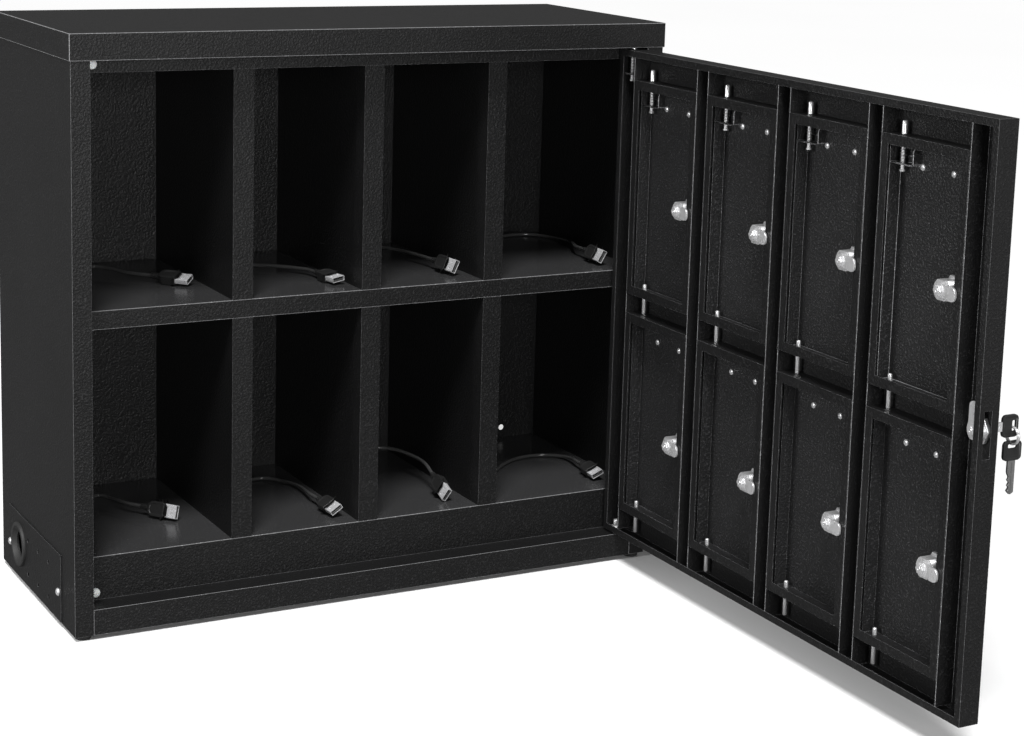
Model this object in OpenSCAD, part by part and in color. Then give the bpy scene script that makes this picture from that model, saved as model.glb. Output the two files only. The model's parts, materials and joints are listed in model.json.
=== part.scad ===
// Wall and desk locker with eight small doors set in one large hinged door.
// The large door stands open, as seen from the front, with its small doors shut.
// X runs to the right, Y to the back, Z up; the origin is the middle of the wall holes.

/* [Cabinet] */
// Width over the two side panels
body_w = 550; // [480:5:700]
// Depth from the front plane to the back of the back panel
body_d = 220; // [180:5:320]
// Height of the body without its feet
body_h = 500; // [460:5:640]
// Sheet of the cabinet
sheet = 1.2; // [0.8:0.1:2]
// Width of the strip at each side of the door
jamb_w = 16; // [12:1:24]
// Depth of the folded hem on the strip at the latch side
hem_d = 5; // [2:0.5:6]
// Depth from the front plane to the fronts of the shelves
recess = 22.5; // [22.5:0.5:30]
// Drop of the lid's rim
lid_rim = 22; // [16:1:30]
// Height of the bottom rail
rail_h = 22; // [18:1:30]
// Height of the raised floor above the bottom of the body
floor_h = 60; // [52:1:90]
// Height of the shelf's top above the bottom of the body
shelf_h = 270; // [230:5:320]
// Height of the shelf's front face
shelf_face = 16; // [10:1:24]
// Drop of the header strip below the lid's rim
header_drop = 12; // [10:1:16]

/* [Bays] */
// Middle divider's place, right of the cabinet's middle
divider_mid = -1; // [-4:0.5:4]
// Width of a hollow divider
divider_w = 18; // [14:1:22]
// Sheet of the dividers
divider_sheet = 1; // [0.8:0.1:1.5]
// Width of the cable duct at the left wall
duct_w = 15; // [10:1:15]
// Depth of the cable duct, front to back
duct_d = 36; // [20:2:60]

/* [Feet and wall holes] */
// Radius of a rubber foot
foot_r = 7; // [5:0.5:9]
// Height of a rubber foot
foot_h = 4; // [2:0.5:10]
// Middle of a foot from the body's sides and front
foot_in = 9; // [9:1:20]
// Radius of a wall hole
wall_hole_r = 3; // [2:0.5:4]
// Middle of a wall hole from the body's side
wall_hole_in = 38; // [30:1:60]
// Upper wall holes below the top of the body
wall_hole_drop = 40; // [35:1:60]
// Height of the lower wall holes above the bottom of the body
wall_hole_h = 70; // [66:1:90]

/* [Service cover] */
// Length of the cover along the side panel
cover_l = 158; // [150:1:180]
// Height of the cover
cover_h = 59; // [54:1:60]
// Thickness of the cover
cover_t = 1; // [0.8:0.1:2]
// Front edge of the cover behind the front plane
cover_front = 37; // [30:1:50]
// Rim of the side panel that the cover lies on
cover_rim = 8; // [6:0.5:10]
// Radius of the grommet's bore for the mains lead
entry_r = 12; // [8:0.5:13]
// Radius of the grommet's neck
entry_neck_r = 16; // [15:0.5:17]
// Radius of the grommet's flange
entry_flange_r = 20; // [19:0.5:21]
// Radius of a vent hole in the cover
vent_r = 2; // [1:0.5:4]
// Distance between vent holes
vent_pitch = 31; // [26:1:33]

/* [Large door] */
// Gap between the door and the strips beside it
door_gap = 1.5; // [1:0.25:3]
// Gap above and below the door
door_gap_z = 2; // [1:0.25:4]
// Thickness of the door
door_t = 18; // [18:0.5:19]
// Sheet of the doors
door_sheet = 1; // [0.8:0.1:1.2]
// Width of the door's turned-in rim
door_rim = 6; // [4:0.5:6]
// Distance of the hinge pin from the door's hinge edge
pin_u = 8; // [7:0.5:10]
// Distance of the hinge pin behind the door's face
pin_n = 9; // [7:0.5:9]
// Radius of the large door's pins
pin_r = 2.5; // [1.5:0.25:2.75]
// Width of the strip between the door's hinge edge and the first small door's opening
hinge_margin = 26; // [24:0.5:30]
// Space between the large door's lock nut and the wall of the last opening
lock_space = 2; // [1:0.25:4]
// Width of the channels between the small doors
mouth_w = 18; // [14:0.5:20]
// Height of the open space above and below the small doors
edge_space = 26; // [22:1:30]
// Height of an upper opening
upper_open_h = 195; // [170:1:205]
// Width of the lip round each opening
lip_w = 8; // [6:0.5:9]

/* [Small doors] */
// Rim of the face sheet that shows inside each opening
face_rim = 1.5; // [1:0.25:2]
// Gap between a small door and the face sheet
small_gap = 1; // [0.75:0.25:1.5]
// Depth of a small door's pan
pan_d = 12; // [9:0.5:12]
// Small door's pin from its hinge edge
small_pin_u = 9; // [8:0.5:9]
// Small door's pin behind its face
small_pin_n = 6; // [5:0.5:6]
// Radius of a small door's pin
small_pin_r = 2; // [1.5:0.1:2]
// Lock's middle below the top of the opening
lock_drop = 107; // [90:1:115]
// Lock's middle from the latch edge of the opening
lock_in = 24.5; // [22:0.5:26]
// Distance between the two rivets of a number plate
plate_pitch = 36; // [28:1:40]

/* [Locks] */
// Radius of a lock's body
barrel_r = 9; // [7:0.5:9.5]
// Radius of a lock's head
head_r = 11; // [9.5:0.5:12]
// Thickness of a lock's head
head_t = 3; // [2:0.5:5]
// Width of a cam
cam_w = 13; // [10:0.5:15]
// Thickness of a cam
cam_t = 2; // [1.5:0.1:2]
// Reach of a small door's cam from its pivot
cam_reach = 20.5; // [18:0.5:20.5]
// Reach of the large door's cam from its pivot
main_cam_reach = 22; // [20:0.5:23]
// Height of the large door's lock above the bottom of the body
main_lock_h = 246; // [240:1:260]
// Large door's lock from the door's latch edge
main_lock_in = 15; // [14:0.5:16]

/* [USB leads] */
// Diameter of a lead
lead_d = 3.4; // [3:0.1:3.6]
// Width of a plug's grip
grip_w = 15; // [13:0.5:16]
// Thickness of a plug's grip
grip_t = 8; // [6.5:0.5:9]
// Length of a plug's grip
grip_l = 19; // [16:1:24]
// Width of a plug's shell
shell_w = 12; // [11:0.5:12.5]
// Thickness of a plug's shell
shell_t = 4.5; // [4:0.25:5]
// Length of a plug's shell
shell_l = 12; // [10:1:13]

/* [Hidden] */

black = [0.07, 0.07, 0.08];
soft_black = [0.04, 0.04, 0.045];
nickel = [0.78, 0.78, 0.8];
bright = [0.88, 0.88, 0.9];
white = [0.85, 0.85, 0.84];

// Running clearance of a pin in its hole, and the play of a screw or grommet in its hole
run = 0.06;
play = 0.15;
// Seam between two pieces of one node that are clamped together
seam = 0.05;
eps = 0.01;
round_fn = 48;

// Cabinet planes, round the middle of the wall holes
wall_pitch_x = body_w - 2 * wall_hole_in;
wall_pitch_z = body_h - wall_hole_h - wall_hole_drop;
x_left = -body_w / 2;
x_right = body_w / 2;
y_front = -body_d;
z_base = -wall_hole_h - wall_pitch_z / 2;
z_top = z_base + body_h;
z_rail = z_base + rail_h;
z_floor = z_base + floor_h;
z_shelf = z_base + shelf_h;
z_rim = z_top - lid_rim;
x_in_left = x_left + sheet;
x_in_right = x_right - sheet;
y_back_in = -sheet;
y_recess = y_front + recess;

// Large door, shut width and height, and its hinge axis
door_w = body_w - 2 * jamb_w - 2 * door_gap;
door_z0 = z_rail + door_gap_z;
door_z1 = z_rim - door_gap_z;
door_h = door_z1 - door_z0;
hinge_x = x_right - jamb_w - door_gap - pin_u;
hinge_y = y_front + pin_n;
open_angle = 90;

// Openings in the large door: columns run from the hinge to the latch edge, rows from the top
columns = 4;
latch_margin = main_lock_in + head_r + lock_space + door_sheet;
open_w = (door_w - hinge_margin - latch_margin - (columns - 1) * mouth_w) / columns;
bay_pitch = open_w + mouth_w;
divider_x = [for (k = [-1:1]) divider_mid + k * bay_pitch];
lower_open_h = door_h - 2 * edge_space - mouth_w - upper_open_h;
function col_u(c) = hinge_margin + c * bay_pitch;
function row_h(r) = r == 0 ? upper_open_h : lower_open_h;
function row_z(r) = r == 0 ? door_z1 - edge_space - upper_open_h : door_z0 + edge_space;
function row_top(r) = row_z(r) + row_h(r);
function small_u(c) = col_u(c) + face_rim + small_gap + small_pin_u;
small_in = face_rim + small_gap;

// Locks
barrel_short = 1.7;
cam_gap = 0.4;
barrel_end = door_t - barrel_short;
cam_plane = door_t + cam_gap;
function lock_u(c) = col_u(c) + open_w - lock_in;
function lock_z(r) = row_top(r) - lock_drop;
main_lock_u = door_w - main_lock_in;
main_lock_z = z_base + main_lock_h;
main_barrel_end = 9;
cam_play = 0.1;
cam_nut_t = 3;
cam_nut_r = 5;

// Sprung pins: tip above the opening, collar under the pan's top, ledge below the coil
tip_up = 10;
main_tip_up = 6;
nose_l = 1;
nose_in = 0.8;
seat_gap = 0.1;
tail_t = 1.6;
tail_out = 0.8;
collar_t = 1.4;
collar_out = 2.2;
ledge_drop = 22;
tail_drop = 29;
coil_wire = 0.8;
coil_gap = 0.6;
coil_turns = 5;

// A box given by its low and high corners
module span(low, high) {
    translate(low) cube(high - low);
}

// Places its children, drawn for the shut door about the hinge axis, on the open door
module on_door() {
    translate([hinge_x, hinge_y, 0]) rotate([0, 0, open_angle]) children();
}

// A box on the door: u from the hinge edge, n behind the face, z upwards
module door_box(u0, u1, n0, n1, z0, z1) {
    span([pin_u - u1, n0 - pin_n, z0], [pin_u - u0, n1 - pin_n, z1]);
}

// An upright pin or hole on the door
module door_post(u, n, z0, z1, r) {
    translate([pin_u - u, n - pin_n, z0]) cylinder(h = z1 - z0, r = r, $fn = round_fn);
}

// A round bar or hole square to the door's face, from n0 to n1
module door_bar(u, z, n0, n1, r) {
    translate([pin_u - u, n0 - pin_n, z]) rotate([-90, 0, 0]) cylinder(h = n1 - n0, r = r, $fn = round_fn);
}

// Swept tube along a list of points
function unit(v) = v / norm(v);
function tangent(p, i) = unit(p[min(i + 1, len(p) - 1)] - p[max(i - 1, 0)]);
function ring(p, i, r, sides) =
    let (t = tangent(p, i), s = unit(cross(t, [0, 0, 1])), v = cross(s, t))
    [for (k = [0:sides - 1]) p[i] + r * (cos(360 * k / sides) * s + sin(360 * k / sides) * v)];
module tube(p, r, sides) {
    rings = [for (i = [0:len(p) - 1]) each ring(p, i, r, sides)];
    last = (len(p) - 1) * sides;
    walls = [for (i = [0:len(p) - 2], k = [0:sides - 1]) each
        let (a = i * sides + k, b = i * sides + (k + 1) % sides)
        [[a, b, a + sides], [b, b + sides, a + sides]]];
    start = [for (k = [1:sides - 2]) [0, k + 1, k]];
    finish = [for (k = [1:sides - 2]) [last, last + k, last + k + 1]];
    polyhedron(points = rings, faces = concat(walls, start, finish));
}

// Coil of a sprung pin between two heights, as one unbroken wire
function coil_points(z0, z1, turns, r, wire) =
    [for (k = [0:turns * 8])
        let (a = 45 * k, z = z0 + wire / 2 + (z1 - z0 - wire) * k / (turns * 8))
        [r * cos(a), r * sin(a), z]];
module coil(z0, z1, turns, r, wire) {
    tube(coil_points(z0, z1, turns, r, wire), wire / 2, 6);
    echo(least_gap = (z1 - z0 - wire) / turns - wire);
}

// Cabinet

module lid() {
    color(black) difference() {
        span([x_left - sheet, y_front - sheet, z_rim], [x_right + sheet, 0, z_top]);
        span([x_left, y_front, z_rim - 1], [x_right, 1, z_top - sheet]);
    }
}

module side_sheet(x0, x1) {
    span([x0, y_front, z_base], [x1, 0, z_top - sheet]);
}

module left_side_panel() {
    color(black) difference() {
        union() {
            side_sheet(x_left, x_in_left);
            span([x_left, y_front, z_base], [x_left + jamb_w, y_front + sheet, z_top - sheet]);
            span([x_left + jamb_w - sheet, y_front, z_base + sheet],
                 [x_left + jamb_w, y_front + hem_d, z_top - sheet]);
        }
        span([x_left - 1, cover_front_y + cover_rim + screw_room, z_base + cover_rim],
             [x_in_left + 1, cover_back_y - cover_rim, z_base + cover_h - cover_rim]);
        for (y = cover_screw_y) cover_screw_hole(y);
    }
}

module right_side_panel() {
    color(black) union() {
        side_sheet(x_in_right, x_right);
        span([x_right - jamb_w, y_front, z_base], [x_right, y_front + sheet, z_top - sheet]);
    }
}

module back_panel() {
    color(black) difference() {
        span([x_in_left, y_back_in, z_base], [x_in_right, 0, z_top - sheet]);
        for (x = [-wall_pitch_x / 2, wall_pitch_x / 2], z = [-wall_pitch_z / 2, wall_pitch_z / 2])
            translate([x, y_back_in - 1, z]) rotate([-90, 0, 0])
                cylinder(h = sheet + 2, r = wall_hole_r, $fn = round_fn);
    }
}

module base_pan() {
    color(black) difference() {
        union() {
            span([x_in_left, y_front + sheet, z_base], [x_in_right, y_back_in, z_base + sheet]);
            span([x_left + jamb_w, y_front, z_base], [x_right - jamb_w, y_front + sheet, z_rail]);
            span([x_left + jamb_w, y_front, z_rail - sheet], [x_right - jamb_w, y_recess, z_rail]);
            span([x_in_left, y_front + hem_d, z_rail - sheet], [x_in_right, y_recess + rail_tail, z_rail]);
        }
        translate([hinge_x, hinge_y, z_rail - sheet - 1])
            cylinder(h = sheet + 2, r = pin_r + run, $fn = round_fn);
    }
}

module raised_floor() {
    color(black) union() {
        span([x_in_left, y_recess, z_floor - sheet], [x_in_right, y_back_in, z_floor]);
        span([x_in_left, y_recess, z_rail], [x_in_right, y_recess + sheet, z_floor]);
    }
}

module middle_shelf() {
    color(black) union() {
        span([x_in_left, y_recess, z_shelf - sheet], [x_in_right, y_back_in, z_shelf]);
        span([x_in_left, y_recess, z_shelf - shelf_face], [x_in_right, y_recess + sheet, z_shelf]);
    }
}

// One hollow divider: a front strip with two walls behind it, and a hole for its lead
module divider(x, z0, z1, face_top, lead) {
    low = x - divider_w / 2;
    difference() {
        union() {
            span([low, y_recess, z0], [low + divider_w, y_recess + divider_sheet, face_top]);
            for (s = [0, divider_w - divider_sheet]) {
                span([low + s, y_recess, z0], [low + s + divider_sheet, y_back_in, face_top]);
                span([low + s, y_recess + sheet, z0], [low + s + divider_sheet, y_back_in, z1]);
            }
        }
        bush_hole(x + divider_w / 2, lead);
    }
}

// Duct on the left wall for the lead of a first bay
module side_duct(z0, z1, lead) {
    y0 = lead[1] - duct_d / 2;
    difference() {
        span([x_in_left, y0, z0], [x_in_left + duct_w, y0 + duct_d, z1]);
        span([x_in_left - 1, y0 + divider_sheet, z0 - 1],
             [x_in_left + duct_w - divider_sheet, y0 + duct_d - divider_sheet, z1 + 1]);
        bush_hole(x_in_left + duct_w, lead);
    }
}

module bush_hole(face_x, lead) {
    translate([face_x - divider_sheet - 1, lead[1], lead[2]]) rotate([0, 90, 0])
        cylinder(h = divider_sheet + 2, r = bush_r + play, $fn = round_fn);
}

module dividers() {
    color(black) {
        for (k = [0:2]) {
            divider(divider_x[k], z_shelf, z_top - sheet, z_top - sheet, lead_exit(k + 2));
            divider(divider_x[k], z_floor, z_shelf - sheet, z_shelf - shelf_face, lead_exit(k + 6));
        }
        side_duct(z_shelf, z_top - sheet, lead_exit(1));
        side_duct(z_floor, z_shelf - sheet, lead_exit(5));
    }
}

module top_header() {
    color(black) difference() {
        union() {
            span([x_in_left, y_front + hem_d, z_rim], [x_in_right, y_recess, z_rim + sheet]);
            span([x_left + jamb_w, y_front, z_rim], [x_right - jamb_w, y_recess, z_rim + sheet]);
            span([x_in_left, y_recess - sheet, z_rim - header_drop], [x_in_right, y_recess, z_rim + sheet]);
        }
        translate([hinge_x, hinge_y, z_rim - 1]) cylinder(h = sheet + 2, r = pin_r + run, $fn = round_fn);
    }
}

// Service cover on the left side panel
rail_tail = 6;
screw_room = 7;
screw_r = 1.75;
screw_head_r = 3.4;
screw_head_t = 2;
screw_tail = 3;
cover_up = 1;
cover_screw_in = [7.5, 4];
cover_screw_up = 26;
cover_front_y = y_front + cover_front;
cover_back_y = cover_front_y + cover_l;
cover_screw_y = [cover_front_y + cover_screw_in[0], cover_back_y - cover_screw_in[1]];
cover_screw_z = z_base + cover_screw_up;
vent_first = 29;
vent_drop = 4;
entry_in = 32;
entry_up = 31.5;
entry_y = cover_back_y - entry_in;
entry_z = z_base + entry_up;
module cover_screw_hole(y) {
    translate([x_left - cover_t - 1, y, cover_screw_z]) rotate([0, 90, 0])
        cylinder(h = cover_t + sheet + 2, r = screw_r + play, $fn = round_fn);
}

module service_cover() {
    color(black) difference() {
        span([x_left - cover_t, cover_front_y, z_base + cover_up],
             [x_left, cover_back_y, z_base + cover_up + cover_h]);
        translate([x_left - cover_t - 1, entry_y, entry_z]) rotate([0, 90, 0])
            cylinder(h = cover_t + 2, r = entry_neck_r + play, $fn = round_fn);
        for (c = [0:2], r = [-1, 1])
            translate([x_left - cover_t - 1, cover_screw_y[0] + vent_first + c * vent_pitch,
                       entry_z - vent_drop + r * vent_pitch / 2])
                rotate([0, 90, 0]) cylinder(h = cover_t + 2, r = vent_r, $fn = round_fn);
        for (y = cover_screw_y) cover_screw_hole(y);
    }
}

module cover_screws() {
    color(bright) for (y = cover_screw_y)
        translate([x_left - cover_t, y, cover_screw_z]) rotate([0, 90, 0]) union() {
            cylinder(h = cover_t + sheet + screw_tail, r = screw_r, $fn = round_fn);
            translate([0, 0, -screw_head_t]) cylinder(h = screw_head_t, r = screw_head_r, $fn = round_fn);
        }
}

// Rubber bushes: one for the mains lead, and one for each USB lead
bush_r = 4;
bush_flange_r = 5.5;
bush_flange_t = 1.5;
entry_flange_t = 2.5;
neck_tail = 1;
module cable_grommets() {
    color(soft_black) {
        translate([x_left - cover_t, entry_y, entry_z]) rotate([0, 90, 0]) difference() {
            union() {
                translate([0, 0, -entry_flange_t])
                    cylinder(h = entry_flange_t, r = entry_flange_r, $fn = round_fn);
                cylinder(h = cover_t + 2 * neck_tail, r = entry_neck_r, $fn = round_fn);
            }
            translate([0, 0, -entry_flange_t - 1])
                cylinder(h = entry_flange_t + cover_t + 4, r = entry_r, $fn = round_fn);
        }
        for (i = [1:8]) {
            e = lead_exit(i);
            translate([e[0] - bush_flange_t, e[1], e[2]]) rotate([0, 90, 0]) union() {
                cylinder(h = bush_flange_t, r = bush_flange_r, $fn = round_fn);
                translate([0, 0, -divider_sheet - neck_tail])
                    cylinder(h = divider_sheet + neck_tail + eps, r = bush_r, $fn = round_fn);
            }
        }
    }
}

module rubber_feet() {
    color(soft_black) for (x = [x_left + foot_in, x_right - foot_in], y = [y_front + foot_in, -foot_in])
        translate([x, y, z_base - foot_h]) cylinder(h = foot_h, r = foot_r, $fn = round_fn);
}

// Soft stops for the latch side of the large door
bumper_r = 4;
bumper_gap = 0.3;
bumper_in = 8;
bumper_drop = 5;
bumper_up = 7;
module door_bumpers() {
    face = y_front + door_t + bumper_gap;
    color(white) for (b = [[z_rim - bumper_drop, y_recess - sheet], [z_rail + bumper_up, y_recess]])
        translate([x_left + jamb_w + bumper_in, face, b[0]]) rotate([-90, 0, 0])
            cylinder(h = b[1] - face, r = bumper_r, $fn = round_fn);
}

// Charger on the bottom plate, under the raised floor
charger = [190, 90, 28];
charger_back = 36.3;
port = [13, 7, 5.5];
port_pitch = 21;
port_up = 10;
module usb_charger() {
    at = [-charger[0] / 2, y_back_in - charger_back - charger[1], z_base + sheet];
    first = (charger[0] - 7 * port_pitch - port[0]) / 2;
    color(soft_black) difference() {
        translate(at) cube(charger);
        for (i = [0:7]) translate(at + [first + i * port_pitch, -1, port_up]) cube(port + [0, 1, 0]);
    }
}

// USB leads, listed by bay, left to right, the upper bays first: where each leaves its bush
lead_wall = concat([x_in_left + duct_w], [for (k = [0:2]) divider_x[k] + divider_w / 2]);
lead_rise = [9, 9, 9, 9, 9, 9, 25, 9];
lead_y = [-100, -70, -45, -70, -100, -70, -70, -130];
function lead_floor(i) = i <= 4 ? z_shelf : z_floor;
function lead_exit(i) =
    [lead_wall[(i - 1) % 4] + bush_flange_t, lead_y[i - 1], lead_floor(i) + lead_rise[i - 1]];

// Points after the bush: right of the bush, along Y, and above the bay's floor. The last two are
// measured above the height at which the plug rests.
lead_runs = [
    [[20, -93, 9], [32, -77, 8], [42, -62, 8], [52, -57, 8], [62, -68, 8], [71, -84, 7], [80, -96, 0.2],
     [88, -104, 0]],
    [[23, -73, 7], [38, -80, 5], [53, -90, 5], [66, -101, 5], [76, -113, 5], [81, -123, 0], [83, -135, 0]],
    [[23.5, -41, 8], [38.5, -43, 8], [51.5, -52, 8], [61.5, -66, 9], [69.5, -83, 9], [74.5, -102, 9],
     [77.5, -119, 0], [79.5, -136, 0]],
    [[23, -63, 6], [42, -48, 3], [62, -33, 2], [84, -22, 2], [106, -16, 2], [125, -20, 2], [137, -38, 2],
     [139, -60, 3], [134, -84, 5], [125, -105, 8], [118, -123, 0], [117, -141, 0]],
    [[22, -92, 8], [35, -78, 8], [45, -63, 8], [54, -58, 8], [61, -68, 8], [65, -82, 8.5], [70, -95, 0.2],
     [78, -105, 0]],
    [[22, -65, 6], [38, -56, 3], [54, -48, 2], [70, -48, 2], [81, -61, 2], [86, -82, 4], [86, -104, 6],
     [83, -126, 0], [84, -144, 0]],
    [[25.5, -69, 26], [42.5, -69, 26], [58.5, -72, 26], [71.5, -81, 25], [79.5, -96, 23], [82.5, -112, 22],
     [81.5, -128, 12], [80.5, -142, 8]],
    [[24, -126, 5], [40, -115, 2], [58, -98, 2], [77, -85, 2], [96, -80, 2], [113, -83, 2], [125, -96, 3],
     [127, -111, 5], [124, -125, 0], [123, -138, 0]]
];
straight_l = 8;
// Turn of each plug about its own length, from lying flat, and its height at rest
plug_roll = [18, 8, 64, 60, 74, 32, 64, 24];
plug_gap = 0.3;
function plug_rest(i) =
    let (roll = plug_roll[i - 1]) grip_w / 2 * sin(roll) + grip_t / 2 * cos(roll) + plug_gap;
function lead_point(i, q, last) = lead_exit(i) + [q[0], 0, 0] + [0, q[1] - lead_y[i - 1],
    q[2] - lead_rise[i - 1] + (last ? plug_rest(i) : 0)];
function lead_abs(i) = let (run = lead_runs[i - 1], n = len(run))
    [for (k = [0:n - 1]) lead_point(i, run[k], k > n - 3)];
function lead_path(i) = concat([lead_exit(i), lead_exit(i) + [straight_l, 0, 0]], lead_abs(i));
function path_end(p) = p[len(p) - 1];
function path_way(p) = p[len(p) - 1] - p[len(p) - 2];
module usb_lead(i) {
    color(soft_black) tube(lead_path(i), lead_d / 2, 8);
}

// Places its children at the end of a lead, with X along it
module at_plug(i) {
    way = path_way(lead_path(i));
    translate(path_end(lead_path(i)))
        rotate([0, -atan2(way[2], norm([way[0], way[1]])), atan2(way[1], way[0])])
            rotate([plug_roll[i - 1], 0, 0]) children();
}

boot_l = 6;
boot_r = 2.2;
boot_rings = 3;
boot_pitch = 2;
boot_ring_t = 1.1;
boot_ring_r = [2.6, 2.85, 3.1];
module plug_grip() {
    rotate([0, 90, 0]) cylinder(h = boot_l + 1, r = boot_r, $fn = 24);
    for (k = [0:boot_rings - 1])
        translate([k * boot_pitch, 0, 0]) rotate([0, 90, 0])
            cylinder(h = boot_ring_t, r = boot_ring_r[k], $fn = 24);
    translate([boot_l, 0, -grip_t / 2]) linear_extrude(grip_t) union() {
        translate([grip_w / 2, 0]) circle(r = grip_w / 2, $fn = 48);
        translate([grip_w / 2, -grip_w / 2]) square([grip_l - grip_w / 2, grip_w]);
    }
}
module plug_grips() {
    color(soft_black) for (i = [1:8]) at_plug(i) plug_grip();
}

// Metal shell with its two square holes and its tongue
shell_sheet = 0.4;
shell_wall = 1;
tongue_t = 1.8;
hole_side = 2.2;
hole_in = 5;
module plug_shell() {
    translate([boot_l + grip_l, 0, 0]) difference() {
        translate([0, -shell_w / 2, -shell_t / 2]) cube([shell_l, shell_w, shell_t]);
        translate([shell_wall, -shell_w / 2 + shell_sheet, -shell_t / 2 + shell_sheet + tongue_t])
            cube([shell_l, shell_w - 2 * shell_sheet, shell_t - 2 * shell_sheet - tongue_t]);
        for (s = [-1, 1])
            translate([hole_in, s * shell_w / 4 - hole_side / 2, shell_t / 2 - 1])
                cube([hole_side, hole_side, 2]);
    }
}
module plug_shells() {
    color(bright) for (i = [1:8]) at_plug(i) plug_shell();
}

// Large door

cam_slot_h = 36;
cam_slot_n = 6.5;
cam_slot_w = 7;
module door_skin() {
    s = door_sheet;
    color(black) on_door() difference() {
        door_box(0, door_w, 0, door_t, door_z0, door_z1);
        door_box(s, door_w - s, s, door_t - s, door_z0 + s, door_z1 - s);
        door_box(door_rim, door_w - door_rim, door_t - s - 1, door_t + 1,
                 door_z0 + door_rim, door_z1 - door_rim);
        for (c = [0:3], r = [0:1])
            door_box(col_u(c) + face_rim, col_u(c) + open_w - face_rim, -1, s + 1,
                     row_z(r) + face_rim, row_top(r) - face_rim);
        door_bar(main_lock_u, main_lock_z, -1, s + 1, barrel_r + play);
        door_box(door_w - s - 1, door_w + 1, cam_slot_n, cam_slot_n + cam_slot_w,
                 main_lock_z - cam_slot_h / 2, main_lock_z + cam_slot_h / 2);
        door_post(pin_u, pin_n, door_z1 - s - 1, door_z1 + 1, pin_r + run);
        door_post(pin_u, pin_n, door_z0 - 1, door_z0 + s + 1, pin_r + run);
    }
}

// Upright stiles: three channels between the columns, open towards the inside, and an angle
// beside the first and the last column; the first angle holds the ledge of the sprung pin
module stile_channel(u0) {
    s = door_sheet;
    difference() {
        door_box(u0, u0 + mouth_w, s, door_t, door_z0 + s, door_z1 - s);
        door_box(u0 + s, u0 + mouth_w - s, 2 * s, door_t + 1, door_z0, door_z1);
        door_box(u0 - 1, u0 + mouth_w + 1, door_t - s, door_t + 1, door_z0, door_z0 + door_rim);
        door_box(u0 - 1, u0 + mouth_w + 1, door_t - s, door_t + 1, door_z1 - door_rim, door_z1);
    }
}

module hinge_angle() {
    s = door_sheet;
    wall = col_u(0);
    ledge_z = door_z1 - ledge_drop;
    difference() {
        union() {
            door_box(wall - s, wall, s, door_t, door_z0 + door_rim, door_z1 - door_rim);
            door_box(s, wall, s, 2 * s, door_z0 + s, door_z1 - s);
            door_box(pin_u - ledge_side, wall, s, pin_n + ledge_side, ledge_z - s, ledge_z);
        }
        door_post(pin_u, pin_n, ledge_z - s - 1, ledge_z + 1, pin_r + run);
    }
}

module latch_angle() {
    s = door_sheet;
    wall = col_u(3) + open_w;
    difference() {
        union() {
            door_box(wall, wall + s, s, door_t, door_z0 + door_rim, door_z1 - door_rim);
            door_box(wall, door_w - s, s, 2 * s, door_z0 + s, door_z1 - s);
        }
        door_bar(main_lock_u, main_lock_z, 0, 2 * s + 1, barrel_r + play);
    }
}

ledge_side = 5;
module door_stiles() {
    color(black) on_door() {
        for (k = [0:2]) stile_channel(col_u(k) + open_w);
        hinge_angle();
        latch_angle();
    }
}

// Frame round one opening: top and bottom walls, with a lip on all four sides
module opening_frame(c, r) {
    s = door_sheet;
    u0 = col_u(c);
    u1 = u0 + open_w;
    difference() {
        door_box(u0, u1, s, door_t, row_z(r), row_top(r));
        door_box(u0 - 1, u1 + 1, 0, door_t - s, row_z(r) + s, row_top(r) - s);
        door_box(u0 + lip_w, u1 - lip_w, door_t - s - 1, door_t + 1, row_z(r) + lip_w, row_top(r) - lip_w);
        door_post(small_u(c), small_pin_n, row_z(r) - 1, row_top(r) + 1, small_pin_r + run);
    }
}

module opening_frames() {
    color(black) on_door() for (c = [0:3], r = [0:1]) opening_frame(c, r);
}

// Fixed pins: one under the large door, one between each pair of small doors, one under each pair
pin_in = 8;
pin_under = 2;
pin_flange = 2;
foot_pin_up = 4;
module hinge_pins() {
    s = door_sheet;
    mid_low = row_top(1) - small_in - s - pin_in;
    mid_high = row_z(0) + small_in + s + pin_in;
    foot_low = door_z0 + s + foot_pin_up;
    foot_high = row_z(1) + small_in + s + pin_in;
    color(nickel) on_door() {
        union() {
            door_post(pin_u, pin_n, z_rail - sheet - pin_under, door_z0 + s + pin_in, pin_r);
            door_post(pin_u, pin_n, door_z0 + s, door_z0 + s + pin_flange, pin_r + pin_flange);
        }
        for (c = [0:3]) {
            door_post(small_u(c), small_pin_n, mid_low, mid_high, small_pin_r);
            door_post(small_u(c), small_pin_n, foot_low, foot_high, small_pin_r);
        }
    }
}

// Lock body with its head outside, its barrel, and its nut inside against the seat
lock_nut_t = 3;
module lock_body(u, z, end, seat, gap) {
    color(nickel) union() {
        door_bar(u, z, -head_t, -gap, head_r);
        door_bar(u, z, -head_t, end, barrel_r);
        door_bar(u, z, seat + gap, seat + lock_nut_t, head_r);
    }
}

module main_lock_body() {
    on_door() difference() {
        lock_body(main_lock_u, main_lock_z, main_barrel_end, 2 * door_sheet, 0);
        door_bar(main_lock_u, main_lock_z, -head_t - 1, main_barrel_end + 1, plug_r + run);
    }
}

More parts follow.
